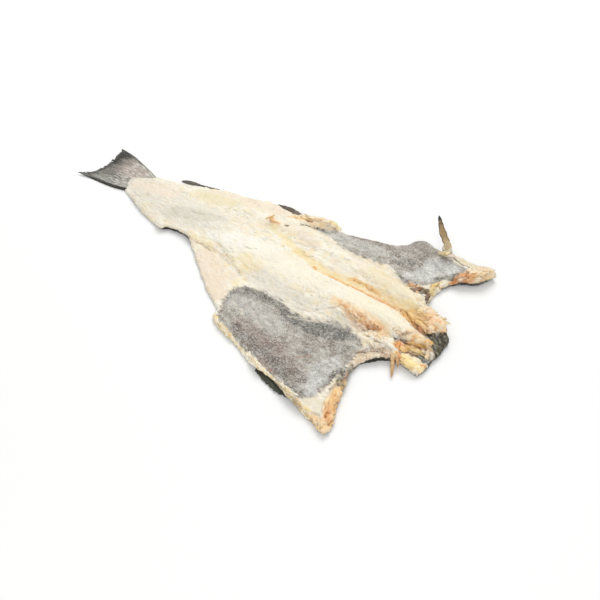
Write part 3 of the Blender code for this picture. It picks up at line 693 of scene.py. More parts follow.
def body_form():
    """Vertices and triangles of the closed body, and what each vertex is: its height share on the
    side wall (0 at the foot, 1 at the top edge), above 1 on the top and below 0 underneath."""
    outline = outline_points()
    inwards = inward(outline)
    count = len(outline)
    lean = np.interp(outline[:, 1], *(np.array(NECK_LEAN) / MM).T) * neck_share(outline)
    foot = underside(outline)
    upper = outline + UPPER_INSET * inwards - np.stack([lean, 0.0 * lean], axis=1)
    lower = outline + LOWER_INSET * inwards
    upper_z = top(upper, np.full(count, UPPER_INSET))

    rings, levels = [], []
    for level in np.linspace(0.0, 1.0, WALL_ROWS):
        past = (level - BULGE_SHARE) / (1.0 - BULGE_SHARE)
        under = 1.0 - level / BULGE_SHARE
        if level <= BULGE_SHARE:
            place = outline + (LOWER_INSET * under**2) * inwards
        else:
            place = outline + past**2 * (upper - outline)
        rings.append(in_three(place, foot + level * (upper_z - foot)))
        levels.append(np.full(count, level))

    top_inner, top_faces = filled(upper, TOP_STEP)
    low_inner, low_faces = filled(lower, UNDERSIDE_STEP)
    top_z = top(top_inner, gap_from(top_inner, outline))
    low_z = underside(low_inner) + back_recess(low_inner, gap_from(low_inner, outline))
    vertices = np.vstack(rings + [in_three(top_inner, top_z), in_three(low_inner, low_z)])
    kind = np.concatenate(levels + [np.full(len(top_inner), 2.0), np.full(len(low_inner), -1.0)])

    at = np.arange(count)
    ahead = (at + 1) % count
    faces = []
    for row in range(WALL_ROWS - 1):
        low, high = row * count, (row + 1) * count
        faces.append(np.column_stack([low + at, low + ahead, high + ahead]))
        faces.append(np.column_stack([low + at, high + ahead, high + at]))
    top_start, low_start = WALL_ROWS * count, WALL_ROWS * count + len(top_inner)
    last = (WALL_ROWS - 1) * count
    faces.append(np.where(top_faces < count, last + top_faces, top_start + top_faces - count))
    faces.append(np.where(low_faces < count, low_faces, low_start + low_faces - count)[:, ::-1])
    return vertices, np.vstack(faces), kind


def normals(vertices, faces):
    """Unit vertex normals."""
    a, b, c = vertices[faces[:, 0]], vertices[faces[:, 1]], vertices[faces[:, 2]]
    face_normals = np.cross(b - a, c - a)
    total = np.zeros_like(vertices)
    for corner in range(3):
        for axis in range(3):
            total[:, axis] += np.bincount(faces[:, corner], face_normals[:, axis], len(vertices))
    return total / np.maximum(np.linalg.norm(total, axis=1), 1e-12)[:, None]


SPOT_CORE = 0.45
PATCH_SIZE = (0.0060, 0.0032, 0.0040)
PATCH_EDGE = (0.34, 0.62)


def spot(points, path):
    """1 along the middle of a path of (x, y, half width), 0 beyond its half width."""
    gap, at = nearest(points, path)
    return 1.0 - ramp(SPOT_CORE, 1.0, gap / at[:, 2])


def patchy(places, amount, seed):
    """A mask from 0 to 1 that leaves gaps: the larger the amount, the more."""
    field = 0.5 + 0.5 * fractal(places, PATCH_SIZE, seed, 3)
    return 1.0 - amount * (1.0 - ramp(*PATCH_EDGE, field))


def mixed(colour, other, share):
    """The colour with a share of another, at each vertex."""
    return colour + share[:, None] * (other - colour)


def stained(colour, stain, drawn, places, where, seed):
    """The colours with one stain laid over them, where a mask allows it."""
    other, strength, gaps, path = stain
    share = strength * spot(drawn, np.array(path) / MM) * where
    touched = share > 0.0
    if touched.any():
        colour = colour.copy()
        share = share[touched] * patchy(places[touched], gaps, seed)
        colour[touched] = mixed(colour[touched], other, share)
    return colour


# Where the flesh is torn rather than cut: paths of (x, y, half width).
TORN = metres({
    "neck": [
        (170, -18, 12), (196, -18, 14), (214, -22, 16), (240, -30, 18), (264, -20, 26), (290, -14, 28),
    ],
    "pit and far lobe": [(204, 80, 8), (228, 74, 14), (250, 40, 18), (285, 28, 22)],
    "channel": [(180, 32, 6), (236, 30, 10)],
    "front of near wing": [(232, -96, 10), (246, -124, 10), (264, -160, 14), (240, -174, 10)],
    "front of far wing": [(226, 98, 8), (240, 120, 10), (264, 150, 14)],
    "vent lobe": [(0, 96, 6), (34, 108, 10), (58, 110, 10)],
})


LUMP_SIZE = (0.0125, 0.0060, 0.0054)
FLECK_SIZE = (0.0130, 0.0052, 0.0060)
FLECK_PATCH_SIZE = (0.022, 0.014, 0.012)
SKIN_EDGE = (0.16, 0.34)  # shares of the wall's height between which the outer skin ends
FEATHER = 0.0030
FEATHER_SIZE = (0.0090, 0.0020, 0.0040)


def lumps(vertices):
    """High on each flake of torn flesh and low in the crevices between them."""
    return fractal(flow(vertices), LUMP_SIZE, 16, 3)


def flecks(vertices):
    """Short torn crevices, scattered over the flesh: 0 to 1."""
    near_line = np.abs(fractal(flow(vertices), FLECK_SIZE, 19, 3))
    scattered = ramp(0.12, 0.42, fractal(vertices, FLECK_PATCH_SIZE, 20, 2))
    return (1.0 - ramp(0.02, 0.11, near_line)) * scattered


def skin_share(vertices, kind):
    """1 where the outer skin shows: underneath, low on the sides, higher up the walls under the raised edges,
    where it also stands for painted shadow, and up the end of the neck.
    """
    uneven = 0.10 * noise(vertices / 0.003, 71) + 0.08 * noise(vertices / 0.008, 72)
    rise = swell(vertices, SKIN_AND_SHADOW_RISES)
    side = 1.0 - ramp(*SKIN_EDGE, np.clip(kind, 0.0, 1.0) + uneven - rise)
    reach = np.interp(vertices[:, 1], *(np.array(NECK_SKIN) / MM).T)
    end = 1.0 - ramp(-0.0008, 0.0010, vertices[:, 2] + 0.014 * uneven - reach)
    end = end * ramp(NECK_SKIN_FROM - 0.004, NECK_SKIN_FROM, vertices[:, 0]) * neck_share(vertices)
    return np.where(kind < 0.0, 1.0, np.maximum(side * (kind < 1.0), end))


def fields(vertices, kind):
    """Masks from 0 to 1 at each vertex of the body."""
    drawn = warped(vertices, 60, *BORDER_WARPS)
    feather = FEATHER * fractal(flow(vertices), FEATHER_SIZE, 61, 3)
    membrane = np.zeros(len(vertices))
    for loop in MEMBRANES.values():
        membrane = np.maximum(membrane, ramp(-0.0018, 0.0026, depth_within(drawn, loop) + feather))
    torn = np.zeros(len(vertices))
    for path in TORN.values():
        torn = np.maximum(torn, spot(drawn, path))
    return {
        "membrane": membrane * (kind > 1.0),
        "torn": torn * (kind > 0.0),
        "skin": skin_share(vertices, kind),
    }


# Bumps of the surface: height, size (one, or one for each axis), seed and octaves.
BUMPS = {
    "broad": (0.7, (30, 22, 20), 11, 2),
    "fibres": (0.34, (14, 3.4, 6), 12, 3),
    "bundles of fibres": (0.55, (9, 6, 6), 13, 2),
    "grain of flesh": (0.22, 2.6, 14, 2),
    "folds of inner skin": (1, (11, 6, 6), 15, 3),
    "grain of inner skin": (0.16, 2.6, 14, 2),
    "torn fibres": (0.7, (6, 2.4, 3), 17, 2),
    "scales": (0.16, 3, 18, 2),
}
FOLD_MEAN = 0.00035
FLECK_DEPTH = 0.0007
LEDGE_HEIGHT = 0.0024
LEDGE_STEPS = 3.0
RELIEF_LOST_UNDER_SKIN = 0.7


def bumps(name, places):
    """How far the bumps of this name stand out at each place."""
    height, size, seed, octaves = BUMPS[name]
    return height / MM * fractal(places, np.array(size) / MM, seed, octaves)


def relief(vertices, kind, masks):
    """How far each vertex stands out of the plain form."""
    streaks = flow(vertices)
    membrane, torn, skin = masks["membrane"], masks["torn"], masks["skin"]
    flesh = bumps("fibres", streaks) + bumps("bundles of fibres", streaks)
    flesh += bumps("grain of flesh", vertices) - FLECK_DEPTH * flecks(vertices)
    folds = FOLD_MEAN - np.abs(bumps("folds of inner skin", streaks)) + bumps("grain of inner skin", vertices)
    high = lumps(vertices)
    ledges = LEDGE_HEIGHT * (0.5 * np.floor(LEDGE_STEPS * high) / LEDGE_STEPS + 0.6 * high)
    ledges += bumps("torn fibres", streaks)
    scales = bumps("scales", vertices)
    height = bumps("broad", vertices) + (1.0 - membrane) * flesh + membrane * folds + torn * ledges
    return np.where(kind < 0.0, scales, height * (1.0 - RELIEF_LOST_UNDER_SKIN * skin) + skin * scales)


def body_colours(vertices, kind, masks):
    """The colour of each vertex, without what is finer than the mesh."""
    drawn = warped(vertices, 80, *STAIN_WARPS)
    streaks = flow(vertices)
    above = kind > 0.0

    def over(colour, other, strength, places, size, seed, low, high):
        return mixed(colour, other, strength * ramp(low, high, fractal(places, size, seed, 3)))

    colour = np.broadcast_to(IVORY, vertices.shape)
    colour = over(colour, CREAM, 1.0, vertices, (0.034, 0.024, 0.020), 21, -0.1, 0.5)
    colour = over(colour, BLUSH, 0.5, vertices, (0.024, 0.016, 0.014), 29, 0.1, 0.5)
    colour = over(colour, STRAW, 0.40, vertices, (0.015, 0.010, 0.010), 27, 0.15, 0.55)
    colour = over(colour, CHALK, 0.70, streaks, (0.0130, 0.0046, 0.0060), 22, 0.10, 0.55)
    colour = over(colour, WHITE, 0.40, streaks, (0.0100, 0.0060, 0.0060), 28, 0.10, 0.60)
    # Painted shade, tinted olive: darker in the short torn crevices.
    colour = mixed(colour, OLIVE, 0.38 * flecks(vertices))
    for i, stain in enumerate(STAINS.values()):
        colour = stained(colour, stain, drawn, streaks, above, 100 + 3 * i)
    high = lumps(vertices)
    # Painted shade and painted highlight on the torn flesh: darker and warmer low in the crevices, lighter on
    # the tops of the flakes.
    colour = mixed(colour, colour * [0.84, 0.64, 0.42], 0.60 * masks["torn"] * ramp(0.20, 0.65, -high))
    colour = mixed(colour, IVORY, 0.30 * masks["torn"] * ramp(0.15, 0.55, high))

    cloth = np.broadcast_to(SMOKE, vertices.shape)
    cloth = over(cloth, BARK, 0.7, vertices, 0.022, 23, -0.05, 0.50)
    cloth = over(cloth, ASH, 0.6, streaks, (0.014, 0.007, 0.006), 24, 0.05, 0.50)
    for i, stain in enumerate(MEMBRANE_STAINS.values()):
        cloth = stained(cloth, stain, drawn, vertices, kind > 1.0, 300 + 3 * i)
    cloth = over(cloth, cloth * 0.60, 0.50, vertices, 0.0036, 25, 0.05, 0.50)
    cloth = over(cloth, ASH, 0.50, vertices, 0.0030, 26, 0.12, 0.50)
    cloth = over(cloth, cloth * 0.66, 0.55, streaks, (0.0180, 0.0080, 0.0080), 55, 0.05, 0.50)
    cloth = over(cloth, cloth * 0.70, 0.35, vertices, (0.0080, 0.0040, 0.0040), 56, 0.08, 0.45)
    colour = mixed(colour, cloth, masks["membrane"])
    return mixed(colour, skin_colours(vertices), masks["skin"])


def skin_colours(vertices):
    """The outer skin: dark along the back, which lies in the middle underneath, and paler on the belly;
    near black on the side walls under the raised edges, as painted shadow with the skin.
    """
    away = np.abs(vertices[:, 1] - np.interp(vertices[:, 0], [-0.23, 0.0, 0.30], [0.014, 0.026, 0.008]))
    reach = np.interp(vertices[:, 0], [-0.23, 0.0, 0.26], [0.022, 0.070, 0.120])
    cloud = fractal(vertices, 0.020, 31, 4)
    paling = ramp(0.35, 1.05, away / reach + 0.30 * cloud)
    colour = mixed(np.broadcast_to(HIDE, vertices.shape), PALE_HIDE, paling)
    colour = mixed(colour, HIDE * 0.55, 0.8 * ramp(0.15, 0.55, fractal(vertices, 0.0075, 32, 3)))
    line = np.abs(away - 0.42 * reach)
    colour = mixed(colour, ASH, 0.55 * (1.0 - ramp(0.0006, 0.0016, line)))
    for path in BACK_FINS.values():
        fin = mixed(np.broadcast_to(LEAD * 0.45, vertices.shape), LEAD, back_rays(vertices))
        colour = mixed(colour, fin, 0.85 * spot(warped(vertices, 90, FIN_WARP), path))
    # Painted shadow: away from the neck, the wall skin under raised edges is darkened to near black.
    rim = np.clip(swell(vertices, SKIN_AND_SHADOW_RISES) / FULL_SKIN_AND_SHADOW_RISE, 0.0, 1.0)
    neck = neck_share(vertices)
    cloud = ramp(-0.1, 0.4, fractal(vertices, 0.0060, 33, 2))
    dark = mixed(np.broadcast_to(HIDE * 0.40, vertices.shape), HIDE, cloud)
    scales = ramp(0.15, 0.50, fractal(vertices, (0.0018, 0.0040, 0.0034), 34, 2))
    dark = mixed(dark * (0.25 + 0.75 * neck)[:, None], PALE_HIDE, 0.75 * scales * neck)
    return mixed(colour, dark, np.maximum(rim, neck) * (vertices[:, 2] > LOW.z + UNDERSIDE_BAND))


def body():
    """The split fish itself, and the salt on it."""
    vertices, faces, kind = body_form()
    masks = fields(vertices, kind)
    out = normals(vertices, faces)
    shaped = vertices + relief(vertices, kind, masks)[:, None] * out
    shaped[:, 2] = np.maximum(shaped[:, 2], LOW.z)
    colour = body_colours(vertices, kind, masks)
    frost = np.clip(0.25 + 0.5 * fractal(vertices, 0.016, 51, 3), 0.0, 1.0)
    attributes = {
        "speckle": masks["membrane"],
        "skin": masks["skin"],
        "frost": frost,
        "gloss": np.clip(masks["torn"], 0.0, 1.0) * 0.6,
    }
    salt(shaped[kind > 0.9], out[kind > 0.9], masks["membrane"][kind > 0.9])
    return piece("cod_body", shaped, faces, colour, attributes)


# ---------------------------------------------------------------- materials


FIBRE_STRETCH = (0.30, 1.0, 0.6)
FIBRE_SCALE, GRAIN_SCALE, DOT_SCALE, COARSE_SCALE = 760.0, 1500.0, 760.0, 420.0
FIBRE_CONTRAST, GRAIN_CONTRAST, PIT_CONTRAST = 0.26, 0.30, 0.45
RIME_COLOUR, RIME_STRENGTH = (0.74, 0.72, 0.67, 1.0), 0.26
SALT_COLOUR, SALT_STRENGTH = (0.82, 0.80, 0.75, 1.0), 0.22
ROUGHNESS, GLOSS_ROUGHNESS_DROP = 0.78, 0.38
BUMP_STRENGTH, BUMP_DISTANCE = 0.5, 0.0006
SPECULAR_LEVEL = 0.35
TEXTURE_ROUGHNESS = 0.55


class Nodes:
    """Short calls that add nodes to one material and link them."""

    def __init__(self, material):
        material.use_nodes = True
        self.nodes = material.node_tree.nodes
        self.links = material.node_tree.links

    def put(self, value, socket):
        """Links an output to the socket, or sets the socket's value."""
        if isinstance(value, bpy.types.NodeSocket):
            self.links.new(value, socket)
        else:
            socket.default_value = value

    def attribute(self, name, output="Fac"):
        node = self.nodes.new("ShaderNodeAttribute")
        node.attribute_name = name
        return node.outputs[output]

    def maths(self, operation, first, second):
        node = self.nodes.new("ShaderNodeMath")
        node.operation = operation
        self.put(first, node.inputs[0])
        self.put(second, node.inputs[1])
        return node.outputs[0]

    def plus(self, first, second):
        return self.maths("ADD", first, second)

    def minus(self, first, second):
        return self.maths("SUBTRACT", first, second)

    def times(self, first, second):
        return self.maths("MULTIPLY", first, second)

    def texture(self, vector, scale, detail):
        node = self.nodes.new("ShaderNodeTexNoise")
        node.inputs["Scale"].default_value = scale
        node.inputs["Detail"].default_value = detail
        node.inputs["Roughness"].default_value = TEXTURE_ROUGHNESS
        self.links.new(vector, node.inputs["Vector"])
        return node.outputs["Fac"]

    def blend(self, share, first, second):
        node = self.nodes.new("ShaderNodeMix")
        node.data_type = "RGBA"
        self.put(share, node.inputs[0])
        self.put(first, node.inputs[6])
        self.put(second, node.inputs[7])
        return node.outputs[2]

    def between(self, value, low, high):
        node = self.nodes.new("ShaderNodeMapRange")
        node.interpolation_type = "SMOOTHSTEP"
        node.inputs["From Min"].default_value = low
        node.inputs["From Max"].default_value = high
        self.links.new(value, node.inputs["Value"])
        return node.outputs["Result"]


def finish_material():
    """Dried fish: the vertex colour, with fibres, grain, speckle and salt finer than the mesh."""
    made = bpy.data.materials.new("salted_fish")
    n = Nodes(made)
    shader = n.nodes["Principled BSDF"]
    place = n.nodes.new("ShaderNodeTexCoord").outputs["Object"]
    stretch = n.nodes.new("ShaderNodeMapping")
    stretch.inputs["Scale"].default_value = FIBRE_STRETCH
    n.links.new(n.attribute("flow", "Vector"), stretch.inputs["Vector"])
    fibre = n.texture(stretch.outputs["Vector"], FIBRE_SCALE, 4.0)
    grain = n.texture(place, GRAIN_SCALE, 3.0)
    dots = n.texture(place, DOT_SCALE, 2.0)
    coarse = n.texture(place, COARSE_SCALE, 4.0)
    speckle = n.attribute("speckle")

    fibre_shade = n.times(n.minus(fibre, 0.5), FIBRE_CONTRAST)
    grain_shade = n.times(n.minus(grain, 0.5), GRAIN_CONTRAST)
    pits = n.between(n.plus(n.times(coarse, 0.4), n.times(dots, 0.6)), 0.50, 0.62)
    dull = n.maths("MAXIMUM", speckle, n.attribute("skin"))
    light = n.plus(1.0, n.plus(fibre_shade, grain_shade))
    light = n.minus(light, n.times(n.times(pits, dull), PIT_CONTRAST))
    shaded = n.nodes.new("ShaderNodeVectorMath")
    shaded.operation = "SCALE"
    n.links.new(n.attribute("tint", "Color"), shaded.inputs[0])
    n.links.new(light, shaded.inputs["Scale"])

    rime = n.times(n.between(n.minus(1.0, dots), 0.52, 0.66), speckle)
    colour = n.blend(n.times(rime, RIME_STRENGTH), shaded.outputs[0], RIME_COLOUR)
    salt = n.between(n.plus(grain, n.times(n.attribute("frost"), 0.25)), 0.56, 0.74)
    colour = n.blend(n.times(salt, SALT_STRENGTH), colour, SALT_COLOUR)
    n.links.new(colour, shader.inputs["Base Color"])
    rough = n.minus(ROUGHNESS, n.times(n.attribute("gloss"), GLOSS_ROUGHNESS_DROP))
    n.links.new(rough, shader.inputs["Roughness"])

    bump = n.nodes.new("ShaderNodeBump")
    bump.inputs["Strength"].default_value = BUMP_STRENGTH
    bump.inputs["Distance"].default_value = BUMP_DISTANCE
    n.links.new(n.plus(n.times(fibre, 0.8), n.plus(n.times(grain, 0.5), coarse)), bump.inputs["Height"])
    n.links.new(bump.outputs["Normal"], shader.inputs["Normal"])
    shader.inputs["Specular IOR Level"].default_value = SPECULAR_LEVEL
    return made


FISH = finish_material()


def piece(name, vertices, faces, colour, attributes, material=FISH):
    """A smooth mesh object that rides on the body, with its colours and masks as attributes."""
    mesh = bpy.data.meshes.new(name)
    mesh.from_pydata(np.asarray(vertices).tolist(), [], faces if isinstance(faces, list) else faces.tolist())
    mesh.polygons.foreach_set("use_smooth", np.ones(len(mesh.polygons), bool))
    layer = mesh.attributes.new("tint", "FLOAT_COLOR", "POINT")
    rgba = np.column_stack([colour, np.ones(len(vertices))])
    layer.data.foreach_set("color", rgba.astype(np.float32).ravel())
    layer = mesh.attributes.new("flow", "FLOAT_VECTOR", "POINT")
    layer.data.foreach_set("vector", flow(np.asarray(vertices)).astype(np.float32).ravel())
    for key in ("speckle", "skin", "frost", "gloss"):
        layer = mesh.attributes.new(key, "FLOAT", "POINT")
        values = np.broadcast_to(attributes.get(key, 0.0), len(vertices))
        layer.data.foreach_set("value", values.astype(np.float32))
    mesh.materials.append(material)
    made = bpy.data.objects.new(name, mesh)
    bpy.context.scene.collection.objects.link(made)
    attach(made, "root")
    return made


# ---------------------------------------------------------------- salt

SALT_GRAINS = 7000
GRAIN_SIZES = (0.00022, 0.00055)  # half widths
OCTAHEDRON = np.array([[1, 0, 0], [0, 1, 0], [-1, 0, 0], [0, -1, 0], [0, 0, 1], [0, 0, -1]], float)
OCTAHEDRON_FACES = np.array(
    [[k, (k + 1) % 4, 4] for k in range(4)] + [[(k + 1) % 4, k, 5] for k in range(4)]
)


def salt(places, out, membrane):
    """Crystals of dried salt that cling to the flesh side, thickest on the inner skin."""
    rng = np.random.default_rng(7)
    share = (0.25 + membrane) * ramp(-0.15, 0.35, fractal(places, 0.020, 81, 3))
    chosen = rng.choice(len(places), SALT_GRAINS, p=share / share.sum())
    centres = places[chosen] + rng.uniform(-0.5, 0.5, (SALT_GRAINS, 3)) * TOP_STEP
    centres += 0.15 * GRAIN_SIZES[1] * out[chosen]
    sizes = rng.uniform(*GRAIN_SIZES, (SALT_GRAINS, 1, 1)) * rng.uniform(0.6, 1.2, (SALT_GRAINS, 6, 1))
    turn, tip = rng.uniform(0.0, math.tau, (2, SALT_GRAINS, 1))
    x, y, z = OCTAHEDRON.T[:, None]
    y, z = y * np.cos(tip) - z * np.sin(tip), y * np.sin(tip) + z * np.cos(tip)
    x, y = x * np.cos(turn) - y * np.sin(turn), x * np.sin(turn) + y * np.cos(turn)
    vertices = (centres[:, None] + sizes * np.stack([x, y, z], axis=-1)).reshape(-1, 3)
    vertices[:, 2] = np.maximum(vertices[:, 2], LOW.z)
    faces = (OCTAHEDRON_FACES[None] + 6 * np.arange(SALT_GRAINS)[:, None, None]).reshape(-1, 3)
    return piece("salt_grains", vertices, faces, np.broadcast_to(SALT, vertices.shape), {"gloss": 1.0})


# ---------------------------------------------------------------- the tail fin

TAIL_FIN = metres({
    "near side": [(-206, -4), (-220, -7), (-236, -12), (-254, -15.5), (-276, -18), (-300, -22)],
    "far side": [(-196, 34), (-206, 40), (-228, 47), (-258, 54), (-286, 52)],
    "root": [(-206, -4), (-204, 8), (-200, 22), (-196, 34)],
    "hind edge": [(-300, -22), (-292, -12), (-287, 0), (-285, 18), (-286, 38), (-287, 52)],
})
TAIL_RAYS = 34
RAY_COLUMNS = 6
TAIL_ROWS = 72
TAIL_EDGE_POINTS = 200
NEAR_SPAR, FAR_SPAR = 0.0018, 0.0006  # how much thicker the fin's two sides are at the root
TAIL_LEAST_THICKNESS = 0.0004
TAIL_COLOURS = {
    "root": srgb(180, 176, 166), "middle": srgb(128, 125, 116), "blush": srgb(200, 182, 172),
    "near lobe": srgb(172, 172, 164), "groove": srgb(52, 49, 42), "pale": srgb(228, 225, 216),
    "margin": srgb(36, 33, 27), "far rim": srgb(62, 57, 49), "near rim": srgb(30, 28, 22),
    "below": srgb(58, 56, 48),
}


def spread(points, count):
    """So many points, evenly spaced on the smooth curve through the given ones."""
    curve = smooth_curve(points, PATH_STEP)
    at = np.linspace(0, len(curve) - 1, count)
    return np.stack([np.interp(at, np.arange(len(curve)), column) for column in curve.T], axis=1)


def tail_fin_plan(reach, v):
    """Points of the fin's plan: how far each reaches from the root, and where it lies across, 0 to 1."""

    def along(curve, t):
        points = spread(TAIL_FIN[curve], TAIL_EDGE_POINTS)
        stops = np.linspace(0.0, 1.0, TAIL_EDGE_POINTS)
        return np.stack([np.interp(t, stops, column) for column in points.T], axis=1)

    near, far = along("near side", reach), along("far side", reach)
    root, hind = along("root", v), along("hind edge", v)
    near_root, near_tip = TAIL_FIN["near side"][[0, -1]]
    far_root, far_tip = TAIL_FIN["far side"][[0, -1]]
    w, r = v[:, None], reach[:, None]
    place = (1 - w) * near + w * far + (1 - r) * root + r * hind
    place -= (1 - r) * ((1 - w) * near_root + w * far_root)
    place -= r * ((1 - w) * near_tip + w * far_tip)
    return place


def sheet_faces(rows, columns):
    """Faces of a closed sheet: its upper vertices come first, row by row, and then the lower ones."""
    count = rows * columns
    grid = np.arange(count).reshape(rows, columns)
    a, b, c, d = grid[:-1, :-1], grid[1:, :-1], grid[1:, 1:], grid[:-1, 1:]
    quads = np.stack([a, d, c, b], axis=-1).reshape(-1, 4)
    rim = np.concatenate([grid[0, :-1], grid[:-1, -1], grid[-1, :0:-1], grid[:0:-1, 0]])
    ahead = np.roll(rim, -1)
    walls = np.column_stack([rim, ahead, ahead + count, rim + count])
    return np.vstack([quads[:, ::-1], quads + count, walls])


def tail_fin_colours(flat, u, v, between, lane):
    """Pale at the root, dark in the grooves between the rays and along the margin."""
    colour = np.broadcast_to(TAIL_COLOURS["root"], flat.shape)
    cloud = fractal(flat, 0.012, 42, 3)
    colour = mixed(colour, TAIL_COLOURS["middle"], ramp(0.30, 0.75, u + 0.25 * cloud))
    blush = ramp(0.20, 0.36, u) * ramp(0.95, 0.6, u) * ramp(0.40, 0.60, v) * ramp(0.98, 0.85, v)
    colour = mixed(colour, TAIL_COLOURS["blush"], 0.8 * blush)
    colour = mixed(colour, TAIL_COLOURS["near lobe"], 0.85 * ramp(0.42, 0.08, v) * ramp(0.15, 0.40, u))
    streak = noise(lane * 3.1 + flat * [80, 0, 0], 43)
    patch = ramp(-0.25, 0.35, fractal(np.column_stack([u * 5.0, v * TAIL_RAYS * 0.30, 0 * u]), 1.0, 46, 3))
    darkness = 0.30 + 0.50 * ramp(0.2, 0.7, u) + 0.30 * ramp(0.5, 0.1, v)
    groove = between * darkness * (0.3 + 0.9 * patch + streak)
    colour = mixed(colour, TAIL_COLOURS["groove"], np.clip(groove, 0.0, 0.90))
    blotches = fractal(np.column_stack([u * 9.0, v * TAIL_RAYS * 0.8, 0 * u]), 1.0, 44, 3)
    pale = ramp(0.50, 0.72, 0.5 + 0.5 * blotches)
    colour = mixed(colour, TAIL_COLOURS["pale"], 0.75 * pale * (1.0 - ramp(0.55, 0.85, u)))
    margin = u + 0.10 * noise(lane * 2.3, 45) + 0.05 * streak + 0.14 * ramp(0.5, 1.0, v)
    colour = mixed(colour, TAIL_COLOURS["margin"], 0.95 * ramp(0.88, 1.00, margin))
    colour = mixed(colour, TAIL_COLOURS["far rim"], 0.9 * (1.0 - ramp(0.0, 0.050, 1.0 - v)))
    near_rim = (1.0 - ramp(0.05, 0.100, v)) * ramp(1.0, 0.75, u)
    colour = mixed(colour, TAIL_COLOURS["near rim"], 0.97 * near_rim)
    below = TAIL_COLOURS["below"] * (0.6 + 0.5 * (1.0 - between))[:, None]
    return np.vstack([colour, below])


def tail_fin():
    """A thin sheet stiffened by rays that fan out to a frayed hind edge."""
    columns = TAIL_RAYS * RAY_COLUMNS + 1
    v, u = np.meshgrid(np.linspace(0.0, 1.0, columns), np.linspace(0.0, 1.0, TAIL_ROWS))
    v, u = v.ravel(), u.ravel()
    ray = v * TAIL_RAYS
    between = (0.5 + 0.5 * np.cos(math.tau * ray)) ** 2
    lane = np.column_stack([0.9 * np.round(ray), np.zeros_like(v), np.zeros_like(v)])
    fray = 0.006 + 0.060 * (0.5 + 0.5 * noise(lane, 7)) ** 2
    fray = fray + between * (0.020 + 0.040 * noise(lane * 1.7, 8))
    side = np.minimum(v, 1.0 - v)
    fray = fray * ramp(0.0, 0.06, side)
    reach = u * (1.0 - fray)

    place = tail_fin_plan(reach, v)
    foot = underside(place)
    flat = in_three(place)
    forked = 0.5 + 0.5 * np.cos(math.tau * 2.0 * ray)
    ridge = (1.0 - between) * (1.0 - 0.5 * ramp(0.45, 0.8, u) * forked)
    thick = TAIL_FIN_THICKNESS * (1.0 - 0.72 * u) + 0.00055 * ridge * (1.0 - 0.4 * u)
    thick = thick + NEAR_SPAR * (1.0 - ramp(0.0, 0.16, v)) * (1.0 - u)
    thick = thick + FAR_SPAR * (1.0 - ramp(0.0, 0.10, 1.0 - v)) * (1.0 - u)
    thick = thick * (0.55 + 0.45 * ramp(0.0, 0.03, side)) + 0.00025 * fractal(flat, 0.0040, 41, 2)
    upper = in_three(place, foot + np.maximum(thick, TAIL_LEAST_THICKNESS))
    lower = in_three(place, foot + 0.00030 * ridge)
    vertices = np.vstack([upper, lower])

    masks = {"speckle": np.concatenate([0.5 * ramp(0.3, 1.0, u), 0.6 + 0 * u]), "frost": 0.2}
    colour = tail_fin_colours(flat, u, v, between, lane)
    return piece("tail_fin", vertices, sheet_faces(TAIL_ROWS, columns), colour, masks)


# ---------------------------------------------------------------- lofted fins and rib

# Each blade: the direction across it, its colours at the root, middle, edge and tip, and stations
# of (x, y, z, width, thickness).
BLADES = {
    "far_pelvic_fin": (
        (0.77, 0.637, 0.0),
        (srgb(214, 192, 150), srgb(176, 146, 100), srgb(104, 86, 60), srgb(44, 38, 30)),
        [
            (207, 156, 15, 8, 4), (201.5, 159.5, 21.5, 9.2, 2.6), (188, 167, 31, 8.5, 1.6),
            (177.5, 175, 40.5, 5, 1.2), (173.8, 177.2, 44.4, 1.2, 0.8),
        ],
    ),
    "near_pelvic_fin": (
        (0.1, 0.995, 0.0),
        (srgb(70, 72, 56), srgb(56, 60, 44), srgb(38, 38, 28), srgb(58, 56, 44)),
        [
            (216, -151.5, 4, 11, 4.4), (202, -155.5, 2.4, 12.5, 3), (186, -156.8, 2, 12.8, 2.6),
            (166, -153, 1.6, 12.2, 2.2), (150, -150.3, 1.4, 9.2, 1.8), (144, -150.3, 1.2, 4.2, 1.4),
        ],
    ),
    "first_anal_fin": (
        (-0.42, 0.91, 0.0),
        (srgb(120, 104, 84), srgb(96, 80, 62), srgb(70, 58, 46), srgb(84, 74, 62)),
        [
            (6, 98.5, 5.6, 10, 2.4), (-10, 101, 5.6, 9, 2.2), (-20, 100.5, 5.4, 7, 1.8),
            (-33, 99, 5, 2.6, 1.2),
        ],
    ),
    "second_anal_fin": (
        (-0.42, 0.91, 0.0),
        (srgb(128, 120, 106), srgb(104, 96, 84), srgb(76, 70, 60), srgb(90, 84, 74)),
        [
            (-118, 73.5, 4.2, 2, 1.2), (-134, 66.8, 4.8, 2.4, 1.4), (-145, 62.5, 5.6, 3.6, 1.8),
            (-152, 60, 6, 6.6, 2.2), (-163, 56, 6, 7.2, 2), (-169.5, 53.5, 5.6, 3.4, 1.4),
        ],
    ),
    "rib_end": (
        (0.82, 0.57, 0.0),
        (srgb(236, 206, 160), srgb(234, 192, 138), srgb(212, 164, 108), srgb(220, 174, 116)),
        [
            (256, -32, 7.5, 5.6, 5), (264, -43, 7, 4.8, 4), (270, -52, 5.4, 3.8, 3),
            (274, -58, 3.7, 2.2, 1.8), (275.2, -60.2, 3, 0.8, 0.8),
        ],
    ),
    "second_rib_end": (
        (0.82, 0.57, 0.0),
        (srgb(236, 206, 160), srgb(230, 188, 134), srgb(206, 156, 100), srgb(214, 166, 108)),
        [
            (262, -32, 9.5, 5.6, 4.4), (268, -39, 8, 4, 3.4), (272, -43.5, 5.8, 1.6, 1.4),
            (272.6, -44.2, 5.2, 0.6, 0.6),
        ],
    ),
}
BLADE_ROWS = 60
BLADE_SIDES = 44
BLADE_RAYS = 7


